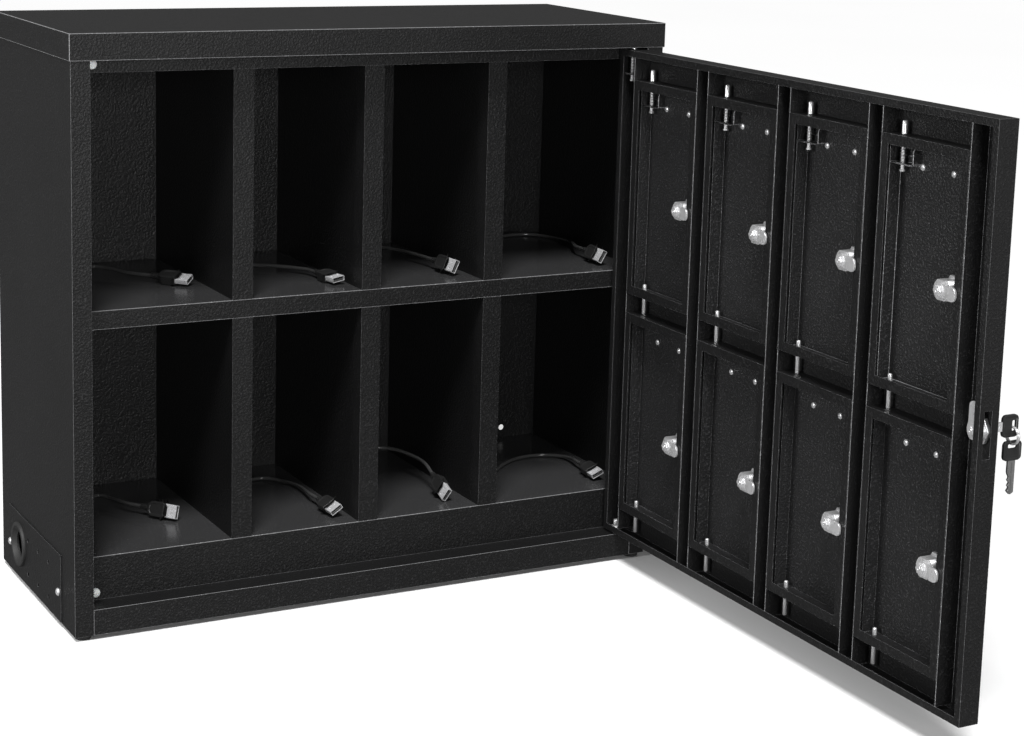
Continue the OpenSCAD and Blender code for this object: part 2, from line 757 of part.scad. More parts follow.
// Cam: a flat arm that starts at the pivot and runs sideways, or upwards on the large door.
// It lies along -X from the pivot, its thickness along Y; step lifts its outer part.
plug_r = 5;
arm_start = 10;
joggle_l = 1.2;
tip_round = 3;
module cam_arm(reach, step) {
    rotate([-90, 0, 0]) union() {
        cylinder(h = cam_t, r = cam_w / 2, $fn = round_fn);
        translate([-arm_start, -cam_w / 2, 0]) cube([arm_start, cam_w, cam_t]);
        translate([-arm_start - joggle_l, -cam_w / 2, 0]) cube([joggle_l + seam, cam_w, cam_t + step]);
        translate([-reach + tip_round, -cam_w / 2, step]) cube([reach - tip_round - arm_start, cam_w, cam_t]);
        for (side = [-1, 1])
            translate([-reach + tip_round, side * (cam_w / 2 - tip_round), step])
                cylinder(h = cam_t, r = tip_round, $fn = round_fn);
        translate([-reach, -cam_w / 2 + tip_round, step]) cube([tip_round + 1, cam_w - 2 * tip_round, cam_t]);
    }
}

module main_lock_cam() {
    base = main_barrel_end + cam_play;
    color(nickel) on_door() union() {
        translate([pin_u - main_lock_u, base - pin_n, main_lock_z]) rotate([0, 90, 0])
            cam_arm(main_cam_reach, 0);
        door_bar(main_lock_u, main_lock_z, -head_t, base + eps, plug_r);
        door_bar(main_lock_u, main_lock_z, main_barrel_end + cam_t, main_barrel_end + cam_t + cam_nut_t,
                 cam_nut_r);
    }
}

// Key in the lock, the ring through its bow and the spare key that hangs on the ring
key_t = 2.4;
shank_l = 13.5;
shank_w = 7;
shank_t = 1.8;
bow_l = 15;
bow_h = 17;
bow_round = 3.5;
blade_l = 26;
ring_r = 6.5;
ring_wire = 0.7;
key_hole_r = 2.2;
key_hole_in = 4;
ring_play = 0.2;
ring_drop = key_hole_r - ring_wire - ring_play;
module key_shape(reach) {
    // Blade from the origin along X, then the bow, in the plane of X and Y
    linear_extrude(key_t, center = true) difference() {
        union() {
            translate([reach, -bow_h / 2 + bow_round]) square([bow_l, bow_h - 2 * bow_round]);
            translate([reach + bow_round, -bow_h / 2]) square([bow_l - 2 * bow_round, bow_h]);
            for (x = [bow_round, bow_l - bow_round], y = [-1, 1])
                translate([reach + x, y * (bow_h / 2 - bow_round)]) circle(r = bow_round, $fn = 32);
        }
        translate([reach + bow_l - key_hole_in, 0]) circle(r = key_hole_r, $fn = 32);
    }
    translate([0, -shank_w / 2, -shank_t / 2]) cube([reach + 1, shank_w, shank_t]);
}
hole_n = -head_t - shank_l - bow_l + key_hole_in;
module main_key() {
    color(soft_black) on_door() translate([pin_u - main_lock_u, -head_t - pin_n, main_lock_z])
        rotate([90, 0, -90]) key_shape(shank_l);
}
module key_ring() {
    color(bright) on_door()
        translate([pin_u - main_lock_u, hole_n - pin_n, main_lock_z - ring_drop - ring_r]) rotate([90, 0, 0])
            rotate_extrude($fn = 60) translate([ring_r, 0]) circle(r = ring_wire, $fn = 16);
}
module spare_key() {
    spare_hole_z = main_lock_z - 2 * ring_drop - 2 * ring_r;
    color(soft_black) on_door()
        translate([pin_u - main_lock_u, hole_n - pin_n, spare_hole_z - blade_l - bow_l + key_hole_in])
            rotate([0, -90, 0]) key_shape(blade_l);
}

// Sprung pins

module sprung_pin(r, tip, collar_z, tail) {
    union() {
        translate([0, 0, tail]) cylinder(h = tip - tail - nose_l, r = r, $fn = round_fn);
        translate([0, 0, tip - nose_l]) cylinder(h = nose_l, r1 = r, r2 = r - nose_in, $fn = round_fn);
        translate([0, 0, collar_z - collar_t]) cylinder(h = collar_t, r = r + collar_out, $fn = round_fn);
        translate([0, 0, tail]) cylinder(h = tail_t, r = r + tail_out, $fn = round_fn);
    }
}

main_seat = door_z1 - door_sheet - seat_gap;
module main_pin() {
    color(nickel) on_door() sprung_pin(pin_r, door_z1 + main_tip_up, main_seat, door_z1 - tail_drop);
}
module main_pin_spring() {
    color(bright) on_door()
        coil(door_z1 - ledge_drop, main_seat - collar_t, coil_turns, pin_r + coil_wire + coil_gap, coil_wire);
}

small_seat = row_top(0) - small_in - door_sheet - seat_gap;
module door_pin(c) {
    color(nickel) on_door() translate([pin_u - small_u(c), small_pin_n - pin_n, 0])
        sprung_pin(small_pin_r, row_top(0) + tip_up, small_seat, row_top(0) - tail_drop);
}
module pin_spring(c) {
    color(bright) on_door() translate([pin_u - small_u(c), small_pin_n - pin_n, 0])
        coil(row_top(0) - ledge_drop, small_seat - collar_t, coil_turns, small_pin_r + coil_wire + coil_gap,
             coil_wire);
}

// Small doors

// Ledge of a small door's sprung pin: its back plate lies on the pan, and it ends beside the first rivet
plate_ledge_gap = 0.65;
ledge_under = 2;
ledge_over = 5;
ledge_round = 5;
module small_door(c, r) {
    s = door_sheet;
    u0 = col_u(c) + small_in;
    u1 = col_u(c) + open_w - small_in;
    z0 = row_z(r) + small_in;
    z1 = row_top(r) - small_in;
    ledge_z = row_top(r) - ledge_drop;
    ledge_end = plate_u(c) - plate_pitch / 2 - rivet_head_r - plate_ledge_gap;
    color(black) on_door() difference() {
        union() {
            difference() {
                door_box(u0, u1, 0, pan_d, z0, z1);
                door_box(u0 + s, u1 - s, s, pan_d + 1, z0 + s, z1 - s);
            }
            if (r == 0) {
                door_box(u0, ledge_end, s - eps, 2 * s, ledge_z - ledge_under, ledge_z + ledge_over);
                door_box(u0 + s - eps, ledge_end, s, small_pin_n + ledge_round, ledge_z - s, ledge_z);
            }
        }
        door_post(small_u(c), small_pin_n, z0 - 1, z1 + 1, small_pin_r + run);
        door_bar(lock_u(c), lock_z(r), -1, s + 1, barrel_r + play);
        for (k = [-1, 1]) door_bar(plate_u(c) + k * plate_pitch / 2, plate_z(r), -1, 3 * s, rivet_r + play);
    }
}

rivet_r = 1.6;
rivet_head_r = 2.6;
plate_h = 18;
plate_t = 0.8;
plate_end = 6;
rivet_t = 1.4;
plate_drop = 23.5;
plate_side = 3;
function plate_u(c) = col_u(c) + open_w / 2 - plate_side;
function plate_z(r) = row_top(r) - plate_drop;

// Number plate on the face, with the two rivets that hold it
module number_plate(c, r) {
    color(bright) on_door() union() {
        door_box(plate_u(c) - plate_pitch / 2 - plate_end, plate_u(c) + plate_pitch / 2 + plate_end,
                 -plate_t, -seam, plate_z(r) - plate_h / 2, plate_z(r) + plate_h / 2);
        for (k = [-1, 1]) {
            door_bar(plate_u(c) + k * plate_pitch / 2, plate_z(r), -plate_t, door_sheet + rivet_t, rivet_r);
            door_bar(plate_u(c) + k * plate_pitch / 2, plate_z(r), door_sheet + seam, door_sheet + rivet_t,
                     rivet_head_r);
        }
    }
}

module small_door_node(i) {
    c = (i - 1) % 4;
    r = i <= 4 ? 0 : 1;
    small_door(c, r);
    on_door() lock_body(lock_u(c), lock_z(r), barrel_end, door_sheet, seam);
    number_plate(c, r);
}

module cam(i) {
    c = (i - 1) % 4;
    r = i <= 4 ? 0 : 1;
    base = barrel_end + cam_play;
    color(nickel) on_door() union() {
        translate([pin_u - lock_u(c), base - pin_n, lock_z(r)]) cam_arm(cam_reach, cam_plane - base);
        door_bar(lock_u(c), lock_z(r), barrel_end + cam_t, barrel_end + cam_t + cam_nut_t, cam_nut_r);
    }
}

lid();
left_side_panel();
right_side_panel();
back_panel();
base_pan();
raised_floor();
middle_shelf();
dividers();
top_header();
service_cover();
cover_screws();
cable_grommets();
rubber_feet();
door_bumpers();
usb_charger();
for (i = [1:8]) usb_lead(i);
plug_grips();
plug_shells();
door_skin();
door_stiles();
opening_frames();
hinge_pins();
main_lock_body();
main_lock_cam();
main_key();
key_ring();
spare_key();
main_pin();
main_pin_spring();
for (i = [1:8]) small_door_node(i);
for (i = [1:8]) cam(i);
for (i = [1:4]) door_pin(i - 1);
for (i = [1:4]) pin_spring(i - 1);
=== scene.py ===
# Phone locker cabinet with its large door open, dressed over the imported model.
import json
import math
import random

import bmesh
import bpy
from mathutils import Matrix, Vector

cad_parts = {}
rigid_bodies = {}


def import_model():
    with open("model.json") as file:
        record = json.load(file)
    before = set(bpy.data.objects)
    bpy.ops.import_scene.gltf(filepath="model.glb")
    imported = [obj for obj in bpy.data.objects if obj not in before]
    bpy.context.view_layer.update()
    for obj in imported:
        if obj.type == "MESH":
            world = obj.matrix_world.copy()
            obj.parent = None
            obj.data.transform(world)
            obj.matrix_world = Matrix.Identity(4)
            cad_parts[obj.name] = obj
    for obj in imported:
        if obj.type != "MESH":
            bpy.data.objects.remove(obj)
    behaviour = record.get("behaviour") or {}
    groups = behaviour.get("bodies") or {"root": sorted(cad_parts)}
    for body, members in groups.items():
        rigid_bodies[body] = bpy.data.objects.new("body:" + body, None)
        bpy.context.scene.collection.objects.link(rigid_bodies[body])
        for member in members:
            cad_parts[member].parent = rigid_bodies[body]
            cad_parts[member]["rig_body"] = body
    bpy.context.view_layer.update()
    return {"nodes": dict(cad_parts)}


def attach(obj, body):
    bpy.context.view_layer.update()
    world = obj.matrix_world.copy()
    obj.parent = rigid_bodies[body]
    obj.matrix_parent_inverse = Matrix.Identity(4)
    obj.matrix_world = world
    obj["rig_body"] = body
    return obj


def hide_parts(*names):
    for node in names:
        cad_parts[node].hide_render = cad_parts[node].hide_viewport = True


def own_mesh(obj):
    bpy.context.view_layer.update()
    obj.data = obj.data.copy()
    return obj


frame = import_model()
bpy.ops.object.select_all(action="DESELECT")
mm = 0.001
toMetres = Matrix.Scale(mm, 4)
print("stage: camera")

# Camera at the place from which the photograph was taken
viewSettings = {
    "place": (-0.7761, -1.8813, 0.3939), "yaw": 0.4968, "pitch": 0.1781, "roll": 0.0278,
    "lens": 76.128, "shiftX": 0.0, "shiftY": -0.1348,
}


def makeCamera(s):
    lens = bpy.data.cameras.new("photoCamera")
    lens.sensor_width = 36
    lens.lens = s["lens"]
    lens.shift_x = s["shiftX"]
    lens.shift_y = s["shiftY"]
    lens.clip_end = 60
    camera = bpy.data.objects.new("photoCamera", lens)
    bpy.context.collection.objects.link(camera)
    ahead = Vector((math.sin(s["yaw"]) * math.cos(s["pitch"]), math.cos(s["yaw"]) * math.cos(s["pitch"]), -math.sin(s["pitch"])))
    level = Vector((math.cos(s["yaw"]), -math.sin(s["yaw"]), 0))
    right = level * math.cos(s["roll"]) + level.cross(ahead) * math.sin(s["roll"])
    up = right.cross(ahead)
    camera.matrix_world = Matrix((
        (right.x, up.x, -ahead.x, s["place"][0]),
        (right.y, up.y, -ahead.y, s["place"][1]),
        (right.z, up.z, -ahead.z, s["place"][2]),
        (0, 0, 0, 1),
    ))
    bpy.context.scene.camera = camera
    bpy.context.scene.view_settings.view_transform = "Standard"


makeCamera(viewSettings)


# Finishes: sums of sockets read as arithmetic, and every other node comes from add
class Level:
    def __init__(self, finish, socket):
        self.finish, self.socket = finish, socket

    def sum(self, operation, first, second):
        return self.finish.add("Math", {"operation": operation}, {0: first, 1: second})

    def __add__(self, other):
        return self.sum("ADD", self, other)

    def __radd__(self, other):
        return self.sum("ADD", other, self)

    def __sub__(self, other):
        return self.sum("SUBTRACT", self, other)

    def __rsub__(self, other):
        return self.sum("SUBTRACT", other, self)

    def __mul__(self, other):
        return self.sum("MULTIPLY", self, other)

    def __rmul__(self, other):
        return self.sum("MULTIPLY", other, self)

    def __gt__(self, other):
        return self.sum("GREATER_THAN", self, other)


class Finish:
    def __init__(self, name):
        self.material = bpy.data.materials.new(name)
        self.material.use_nodes = True
        self.tree = self.material.node_tree
        self.tree.nodes.clear()
        self.place = self.add("TexCoord", out="Object")

    def add(self, kind, settings=None, sockets=None, out=0):
        node = self.tree.nodes.new("ShaderNode" + kind)
        for key, value in (settings or {}).items():
            setattr(node, key, value)
        for key, value in (sockets or {}).items():
            if isinstance(value, Level):
                self.tree.links.new(value.socket, node.inputs[key])
            else:
                node.inputs[key].default_value = value
        return Level(self, node.outputs[out]) if len(node.outputs) else node

    def noise(self, scale, detail=2.0, stretch=None):
        place = self.place
        if stretch:
            place = self.add("Mapping", None, {"Vector": place, "Scale": stretch})
        return self.add("TexNoise", None, {"Vector": place, "Scale": scale, "Detail": detail, "Roughness": 0.55})

    def blend(self, share, first, second):
        return self.add("Mix", {"data_type": "RGBA"}, {0: share, 6: first, 7: second}, out=2)

    def shade(self, colour, rough, bump=None, **constants):
        sockets = {"Base Color": colour, "Roughness": rough}
        if bump:
            height, strength, distance = bump
            sockets["Normal"] = self.add("Bump", None, {"Height": height, "Strength": strength, "Distance": distance})
        sockets.update({key.replace("_", " "): value for key, value in constants.items()})
        surface = self.add("BsdfPrincipled", None, sockets)
        self.add("OutputMaterial", None, {"Surface": surface})
        return self.material


def grey(level, tint=0.0):
    return (level, level, level * (1 + tint), 1)


coatSettings = {"grainSize": 0.0018, "peelSize": 0.0045, "gloss": 0.32, "fleckFrom": 0.56}


def makeCoat(name, s, dark, light, rough, grain, peel):
    f = Finish(name)
    fine = f.noise(1 / s["grainSize"], 2.5)
    wide = f.noise(1 / s["peelSize"], 1.5)
    cloud = f.noise(7, 3)
    fleck = f.add("Clamp", None, {"Value": (fine - s["fleckFrom"]) * 7})
    colour = f.blend(cloud * 0.3 + fleck * 0.7, grey(dark, 0.02), grey(light, 0.03))
    return f.shade(colour, rough + (fine - 0.5) * 0.2 + (cloud - 0.5) * 0.06,
                   (fine * grain + wide * peel, 1.0, 0.001), Specular_IOR_Level=s["gloss"])


def makeMetal(name, level, tint, rough, streak, metal=0.7):
    f = Finish(name)
    cloud = f.noise(180, 3)
    lines = f.noise(900, 2, streak)
    colour = f.blend(cloud, grey(level * 0.86, tint), grey(level, tint))
    return f.shade(colour, rough + (cloud - 0.5) * 0.14 + (lines - 0.5) * 0.1,
                   (lines * 0.03 + cloud * 0.05, 0.5, 0.001), Metallic=metal)


def makeSoft(name, level, rough, grainSize, height, **more):
    f = Finish(name)
    fine = f.noise(1 / grainSize, 3)
    cloud = f.noise(40, 2)
    colour = f.blend(cloud, grey(level * 0.75), grey(level * 1.2))
    return f.shade(colour, rough + (fine - 0.5) * 0.18, (fine * height, 0.6, 0.001), **more)


finishes = {
    "coat": makeCoat("powderCoat", coatSettings, 0.005, 0.022, 0.4, 0.62, 0.12),
    "panCoat": makeCoat("panCoat", coatSettings, 0.008, 0.05, 0.34, 0.9, 0.16),
    # upward faces of the shelf and raised floor: a smoother coat with a lighter colour, painted light falling from
    # above
    "smoothCoatPaintedTopLight": makeCoat("shelfCoat", coatSettings, 0.034, 0.07, 0.2, 0.08, 0.06),
    # fold strips: a much lighter copy of the powder coat, a painted highlight along the rounded folds and cut edges
    "foldPaintedHighlight": makeCoat("powderCoatFold", coatSettings, 0.14, 0.34, 0.3, 0.3, 0.1),
    # rim strips: a still lighter copy of the powder coat, a painted highlight and sparkle along the rounded edges of
    # the door frames, stiles and pans
    "rimPaintedHighlight": makeCoat("powderCoatRim", coatSettings, 0.2, 0.7, 0.28, 0.4, 0.1),
    "nickel": makeMetal("nickelPlate", 0.82, 0.01, 0.3, (1, 1, 0.12)),
    "steel": makeMetal("springWire", 0.36, 0.0, 0.3, (1, 1, 1), 0.85),
    "shell": makeMetal("plugShell", 0.9, 0.02, 0.28, (0.2, 1, 1), 0.45),
    "plate": makeMetal("numberPlate", 0.7, 0.0, 0.42, (1, 0.05, 1), 0.9),
    "rubber": makeSoft("blackRubber", 0.016, 0.62, 0.0009, 0.05),
    "plastic": makeSoft("mouldedBlack", 0.02, 0.32, 0.0007, 0.03),
    "jacket": makeSoft("leadJacket", 0.05, 0.2, 0.0012, 0.02),
    "bow": makeSoft("keyBow", 0.014, 0.3, 0.001, 0.02),
    "bumper": makeSoft("whiteBumper", 0.72, 0.5, 0.0015, 0.03, Subsurface_Weight=0.05),
    "ink": makeSoft("numberInk", 0.012, 0.5, 0.0008, 0.01),
    "tongue": makeSoft("plugTongue", 0.05, 0.45, 0.0008, 0.02),
}


# Small helpers for modelling; shapes are drawn in millimetres and settled in metres
def selectOnly(obj):
    bpy.ops.object.select_all(action="DESELECT")
    bpy.context.view_layer.objects.active = obj
    obj.select_set(True)


def openMesh(obj):
    selectOnly(obj)
    bpy.ops.object.mode_set(mode="EDIT")
    bpy.ops.mesh.select_all(action="DESELECT")


def closeMesh():
    bpy.ops.object.mode_set(mode="OBJECT")


def pick(obj, kind, test):
    bpy.ops.mesh.select_mode(type=kind)
    bpy.ops.mesh.select_all(action="DESELECT")
    mesh = bmesh.from_edit_mesh(obj.data)
    for item in {"FACE": mesh.faces, "EDGE": mesh.edges, "VERT": mesh.verts}[kind]:
        if test(item):
            item.select_set(True)
    mesh.select_flush_mode()
    bmesh.update_edit_mesh(obj.data)


def along(edge, axis):
    step = edge.verts[1].co - edge.verts[0].co
    return abs(step[axis]) > 0.99 * step.length


def middle(edge):
    return (edge.verts[0].co + edge.verts[1].co) / 2


def block(name, low, high):
    size = [b - a for a, b in zip(low, high)]
    centre = [(a + b) / 2 for a, b in zip(low, high)]
    bpy.ops.mesh.primitive_cube_add(size=1, location=centre, scale=size)
    obj = bpy.context.object
    obj.name = name
    bpy.ops.object.transform_apply(location=True, rotation=True, scale=True)
    return obj


def prism(name, sides, radius, low, high, turn=0.0):
    bpy.ops.mesh.primitive_cylinder_add(vertices=sides, radius=radius, depth=high - low,
                                        location=(0, 0, (low + high) / 2), rotation=(0, 0, turn))
    obj = bpy.context.object
    obj.name = name
    bpy.ops.object.transform_apply(location=True, rotation=True, scale=True)
    return obj


def turned(name, profile, steps=40):
    # a profile of (radius, height) drawn point by point and spun about Z
    bpy.ops.mesh.primitive_plane_add(size=1, location=(0, 0, 0))
    obj = bpy.context.object
    obj.name = name
    bpy.ops.object.mode_set(mode="EDIT")
    bpy.ops.mesh.select_mode(type="VERT")
    bpy.ops.mesh.select_all(action="SELECT")
    bpy.ops.mesh.merge(type="CENTER")
    bpy.ops.transform.translate(value=(profile[0][0], 0, profile[0][1]))
    for here, there in zip(profile, profile[1:]):
        bpy.ops.mesh.extrude_region_move(
            TRANSFORM_OT_translate={"value": (there[0] - here[0], 0, there[1] - here[1])})
    bpy.ops.mesh.select_all(action="SELECT")
    bpy.ops.mesh.spin(steps=steps, angle=math.tau, center=(0, 0, 0), axis=(0, 0, 1))
    bpy.ops.mesh.select_all(action="SELECT")
    bpy.ops.mesh.remove_doubles(threshold=0.0005)
    bpy.ops.mesh.normals_make_consistent(inside=False)
    closeMesh()
    return obj


def soften(obj, width, segments=2, angle=30, slot=-1):
    selectOnly(obj)
    bevel = obj.modifiers.new("edges", "BEVEL")
    bevel.width = width
    bevel.segments = segments
    bevel.material = slot
    bevel.limit_method = "ANGLE"
    bevel.angle_limit = math.radians(angle)
    bpy.ops.object.modifier_apply(modifier=bevel.name)
    bpy.ops.object.shade_smooth_by_angle(angle=math.radians(50))
    weighted = obj.modifiers.new("normals", "WEIGHTED_NORMAL")
    weighted.keep_sharp = True
    bpy.ops.object.modifier_apply(modifier=weighted.name)
    return obj


def smooth(obj, angle=40):
    selectOnly(obj)
    bpy.ops.object.shade_smooth_by_angle(angle=math.radians(angle))
    return obj


def carve(obj, tool, operation="DIFFERENCE"):
    selectOnly(obj)
    cut = obj.modifiers.new("carve", "BOOLEAN")
    cut.operation = operation
    cut.solver = "EXACT"
    cut.object = tool
    bpy.ops.object.modifier_apply(modifier=cut.name)
    bpy.data.objects.remove(tool)
    return obj


def joinAll(name, parts):
    bpy.ops.object.select_all(action="DESELECT")
    for part in parts:
        part.select_set(True)
    bpy.context.view_layer.objects.active = parts[0]
    bpy.ops.object.join()
    parts[0].name = name
    return parts[0]


def copyOf(obj, name):
    twin = obj.copy()
    twin.data = obj.data.copy()
    twin.name = name
    bpy.context.collection.objects.link(twin)
    return twin


def settle(obj, place, finish, body, slot, *nodes):
    obj.data.transform(place @ toMetres)
    if finish:
        obj.data.materials.clear()
        obj.data.materials.append(finishes[finish])
    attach(obj, body)
    if nodes:
        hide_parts(*nodes)
    return obj


def scatter(master, places, name, finish, slot, nodes=()):
    # one copy at each (number, place, body); each copy hides the nodes
    for number, place, body in places:
        settle(copyOf(master, f"{name}{number}"), place, finish, body, slot, *nodes)
    bpy.data.objects.remove(master)


# Places on the open door: u from its hinge edge, z, and n behind its face, in millimetres
doorSettings = {"skinX": 258.5, "edgeY": -203.0, "columns": (26.0, 145.5, 265.0, 384.5), "openingWide": 101.5,
                "tops": (185.0, -28.0), "bottoms": (-10.0, -215.0), "lockU": 77.0, "lockDrop": 107.0,
                "plateU": 47.75, "plateDrop": 23.5, "pinU": 11.5, "pinN": 6.0,
                "mainLockU": 500.0, "mainLockZ": -19.0, "mainPinU": 8.0, "mainPinN": 9.0}


def doorPoint(u, n, z):
    return Vector((doorSettings["skinX"] - n, doorSettings["edgeY"] - u, z)) * mm


def onDoor(u, n, z, turn=0.0):
    # local X along u, local Y up, local Z behind the face
    axes = Matrix(((0, 0, -1, 0), (-1, 0, 0, 0), (0, 1, 0, 0), (0, 0, 0, 1)))
    return Matrix.Translation(doorPoint(u, n, z)) @ axes @ Matrix.Rotation(turn, 4, "Z")


def upright(u, n, z):
    return Matrix.Translation(doorPoint(u, n, z))


def bay(number):
    return (number - 1) % 4, (number - 1) // 4


# USB leads: the route of each, from its bush, as in the part's source
print("stage: leads")
leadSettings = {
    "exitX": (-257.3, -110.0, 9.5, 129.0),
    "exitY": (-100, -70, -45, -70, -100, -70, -70, -130),
    "rise": (9, 9, 9, 9, 9, 9, 25, 9),
    "floors": (5.0, -205.0),
    "straight": 8,
    "roll": (18, 8, 64, 60, 74, 32, 64, 24),
    "gripWide": 15.0, "gripThick": 8.0, "restGap": 0.3,
    "diameter": 3.4,
    "runs": (
        ((20, -93, 9), (32, -77, 8), (42, -62, 8), (52, -57, 8), (62, -68, 8), (71, -84, 7), (80, -96, 0.2),
         (88, -104, 0)),
        ((23, -73, 7), (38, -80, 5), (53, -90, 5), (66, -101, 5), (76, -113, 5), (81, -123, 0), (83, -135, 0)),
        ((23.5, -41, 8), (38.5, -43, 8), (51.5, -52, 8), (61.5, -66, 9), (69.5, -83, 9), (74.5, -102, 9),
         (77.5, -119, 0), (79.5, -136, 0)),
        ((23, -63, 6), (42, -48, 3), (62, -33, 2), (84, -22, 2), (106, -16, 2), (125, -20, 2), (137, -38, 2),
         (139, -60, 3), (134, -84, 5), (125, -105, 8), (118, -123, 0), (117, -141, 0)),
        ((22, -92, 8), (35, -78, 8), (45, -63, 8), (54, -58, 8), (61, -68, 8), (65, -82, 8.5), (70, -95, 0.2),
         (78, -105, 0)),
        ((22, -65, 6), (38, -56, 3), (54, -48, 2), (70, -48, 2), (81, -61, 2), (86, -82, 4), (86, -104, 6),
         (83, -126, 0), (84, -144, 0)),
        ((25.5, -69, 26), (42.5, -69, 26), (58.5, -72, 26), (71.5, -81, 25), (79.5, -96, 23), (82.5, -112, 22),
         (81.5, -128, 12), (80.5, -142, 8)),
        ((24, -126, 5), (40, -115, 2), (58, -98, 2), (77, -85, 2), (96, -80, 2), (113, -83, 2), (125, -96, 3),
         (127, -111, 5), (124, -125, 0), (123, -138, 0)),
    ),
}


def leadRoute(s, number):
    column, row = bay(number)
    floor, roll = s["floors"][row], math.radians(s["roll"][number - 1])
    rest = s["gripWide"] / 2 * math.sin(roll) + s["gripThick"] / 2 * math.cos(roll) + s["restGap"]
    start = Vector((s["exitX"][column], s["exitY"][number - 1], floor + s["rise"][number - 1]))
    points = [start, start + Vector((s["straight"], 0, 0))]
    run = s["runs"][number - 1]
    for k, (x, y, z) in enumerate(run):
        points.append(Vector((start.x + x, y, floor + z + (rest if k > len(run) - 3 else 0))))
    return points


def smoothRoute(points):
    # one more point between each two, on a smooth curve through them
    ends = [points[0]] + list(points) + [points[-1]]
    route = []
    for a, b, c, d in zip(ends, ends[1:], ends[2:], ends[3:]):
        route += [b, (9 * (b + c) - (a + d)) / 16]
    route[-1] = (points[-2] + points[-1]) / 2
    return route + [points[-1]]


def plugPlace(s, number, points):
    way = points[-1] - points[-2]
    yaw, pitch = math.atan2(way.y, way.x), math.atan2(way.z, math.hypot(way.x, way.y))
    turn = Matrix.Rotation(yaw, 4, "Z") @ Matrix.Rotation(-pitch, 4, "Y")
    return Matrix.Translation(points[-1] * mm) @ turn @ Matrix.Rotation(math.radians(s["roll"][number - 1]), 4, "X")


def makeLead(s, number):
    points = leadRoute(s, number)
    route = smoothRoute(points)
    curve = bpy.data.curves.new(f"usbLead{number}", "CURVE")
    curve.dimensions = "3D"
    curve.bevel_depth = s["diameter"] / 2 * mm
    curve.bevel_resolution = 5
    curve.resolution_u = 8
    curve.use_fill_caps = True
    spline = curve.splines.new("BEZIER")
    spline.bezier_points.add(len(route) - 1)
    for k, point in enumerate(route):
        before, after = route[max(k - 1, 0)], route[min(k + 1, len(route) - 1)]
        lean = (after - before) / 6 if 0 < k < len(route) - 1 else (after - before) / 3
        spline.bezier_points[k].handle_left_type = spline.bezier_points[k].handle_right_type = "FREE"
        spline.bezier_points[k].co = point * mm
        spline.bezier_points[k].handle_left = (point - lean) * mm
        spline.bezier_points[k].handle_right = (point + lean) * mm
    lead = bpy.data.objects.new(f"usbLead{number}", curve)
    bpy.context.collection.objects.link(lead)
    curve.materials.append(finishes["jacket"])
    long = sum((b - a).length for a, b in zip(route, route[1:])) * mm
    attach(lead, "cabinet")
    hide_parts(f"usb_lead_{number}")
    return lead, points, long


plugSettings = {"bootLong": 6.0, "gripLong": 19.0, "gripBack": 2.5, "gripWide": 13.2, "gripThick": 7.6,
                "shellLong": 12.0, "shellWide": 12.0, "shellThick": 4.5, "shellWall": 0.4,
                "holeSide": 2.2, "holeIn": 5.0}


def makeGrip(s):
    x0, x1, half = s["bootLong"] + s["gripBack"], s["bootLong"] + s["gripLong"], s["gripWide"] / 2
    body = block("grip", (x0, -half, -s["gripThick"] / 2), (x1, half, s["gripThick"] / 2))
    openMesh(body)
    pick(body, "EDGE", lambda e: along(e, 2) and middle(e).x < x0 + 1)
    bpy.ops.mesh.bevel(offset=5.2, segments=8, affect="EDGES")
    pick(body, "EDGE", lambda e: along(e, 2) and middle(e).x > x1 - 1)
    bpy.ops.mesh.bevel(offset=1.0, segments=3, affect="EDGES")
    pick(body, "FACE", lambda f: abs(f.normal.z) > 0.9)
    bpy.ops.mesh.inset(thickness=1.9, depth=0)
    bpy.ops.mesh.inset(thickness=0.35, depth=-0.35)
    closeMesh()
    soften(body, 0.9, 3)
    # boot: rings that grow towards the grip, and a neck that runs into it
    profile = [(0, 0.02), (2.2, 0.02)]
    for k in range(4):
        wide = 2.5 + 0.2 * k
        profile += [(wide, 0.2 + 2 * k), (wide, 1.2 + 2 * k), (1.9 + 0.15 * k, 1.45 + 2 * k), (1.9 + 0.15 * k, 1.95 + 2 * k)]
    profile += [(3.2, 8.2), (3.3, 10.0), (0, 10.0)]
    boot = smooth(turned("boot", profile, 24), 35)
    boot.data.transform(Matrix.Rotation(math.pi / 2, 4, "Y"))
    return joinAll("grip", [body, boot])


def makeShell(s):
    x0 = s["bootLong"] + s["gripLong"]
    x1, half, thick = x0 + s["shellLong"], s["shellWide"] / 2, s["shellThick"] / 2
    shell = block("shell", (x0, -half, -thick), (x1, half, thick))
    openMesh(shell)
    pick(shell, "EDGE", lambda e: along(e, 0))
    bpy.ops.mesh.bevel(offset=0.5, segments=3, affect="EDGES")
    hole, near = s["holeSide"], x0 + s["holeIn"]
    for x in (near, near + hole):
        bpy.ops.mesh.select_all(action="SELECT")
        bpy.ops.mesh.bisect(plane_co=(x, 0, 0), plane_no=(1, 0, 0))
    for y in (-3 - hole / 2, -3 + hole / 2, 3 - hole / 2, 3 + hole / 2):
        bpy.ops.mesh.select_all(action="SELECT")
        bpy.ops.mesh.bisect(plane_co=(0, y, 0), plane_no=(0, 1, 0))
    pick(shell, "FACE", lambda f: abs(f.normal.z) > 0.9 and near < f.calc_center_median().x < near + hole
         and abs(abs(f.calc_center_median().y) - 3) < 0.5)
    bpy.ops.mesh.inset(thickness=0.12, depth=0, use_individual=True)
    bpy.ops.mesh.inset(thickness=0.02, depth=-0.5, use_individual=True)
    pick(shell, "FACE", lambda f: f.normal.x > 0.9)
    bpy.ops.mesh.dissolve_faces()
    bpy.ops.mesh.inset(thickness=s["shellWall"], depth=0)
    bpy.ops.mesh.extrude_region_move(TRANSFORM_OT_translate={"value": (1.5 - s["shellLong"], 0, 0)})
    closeMesh()
    smooth(shell, 40)
    tongue = block("tongue", (x0 + 1, -half + 0.9, -thick + 0.45), (x1 - 0.4, half - 0.9, -thick + 2.2))
    soften(tongue, 0.25, 2)
    return shell, tongue


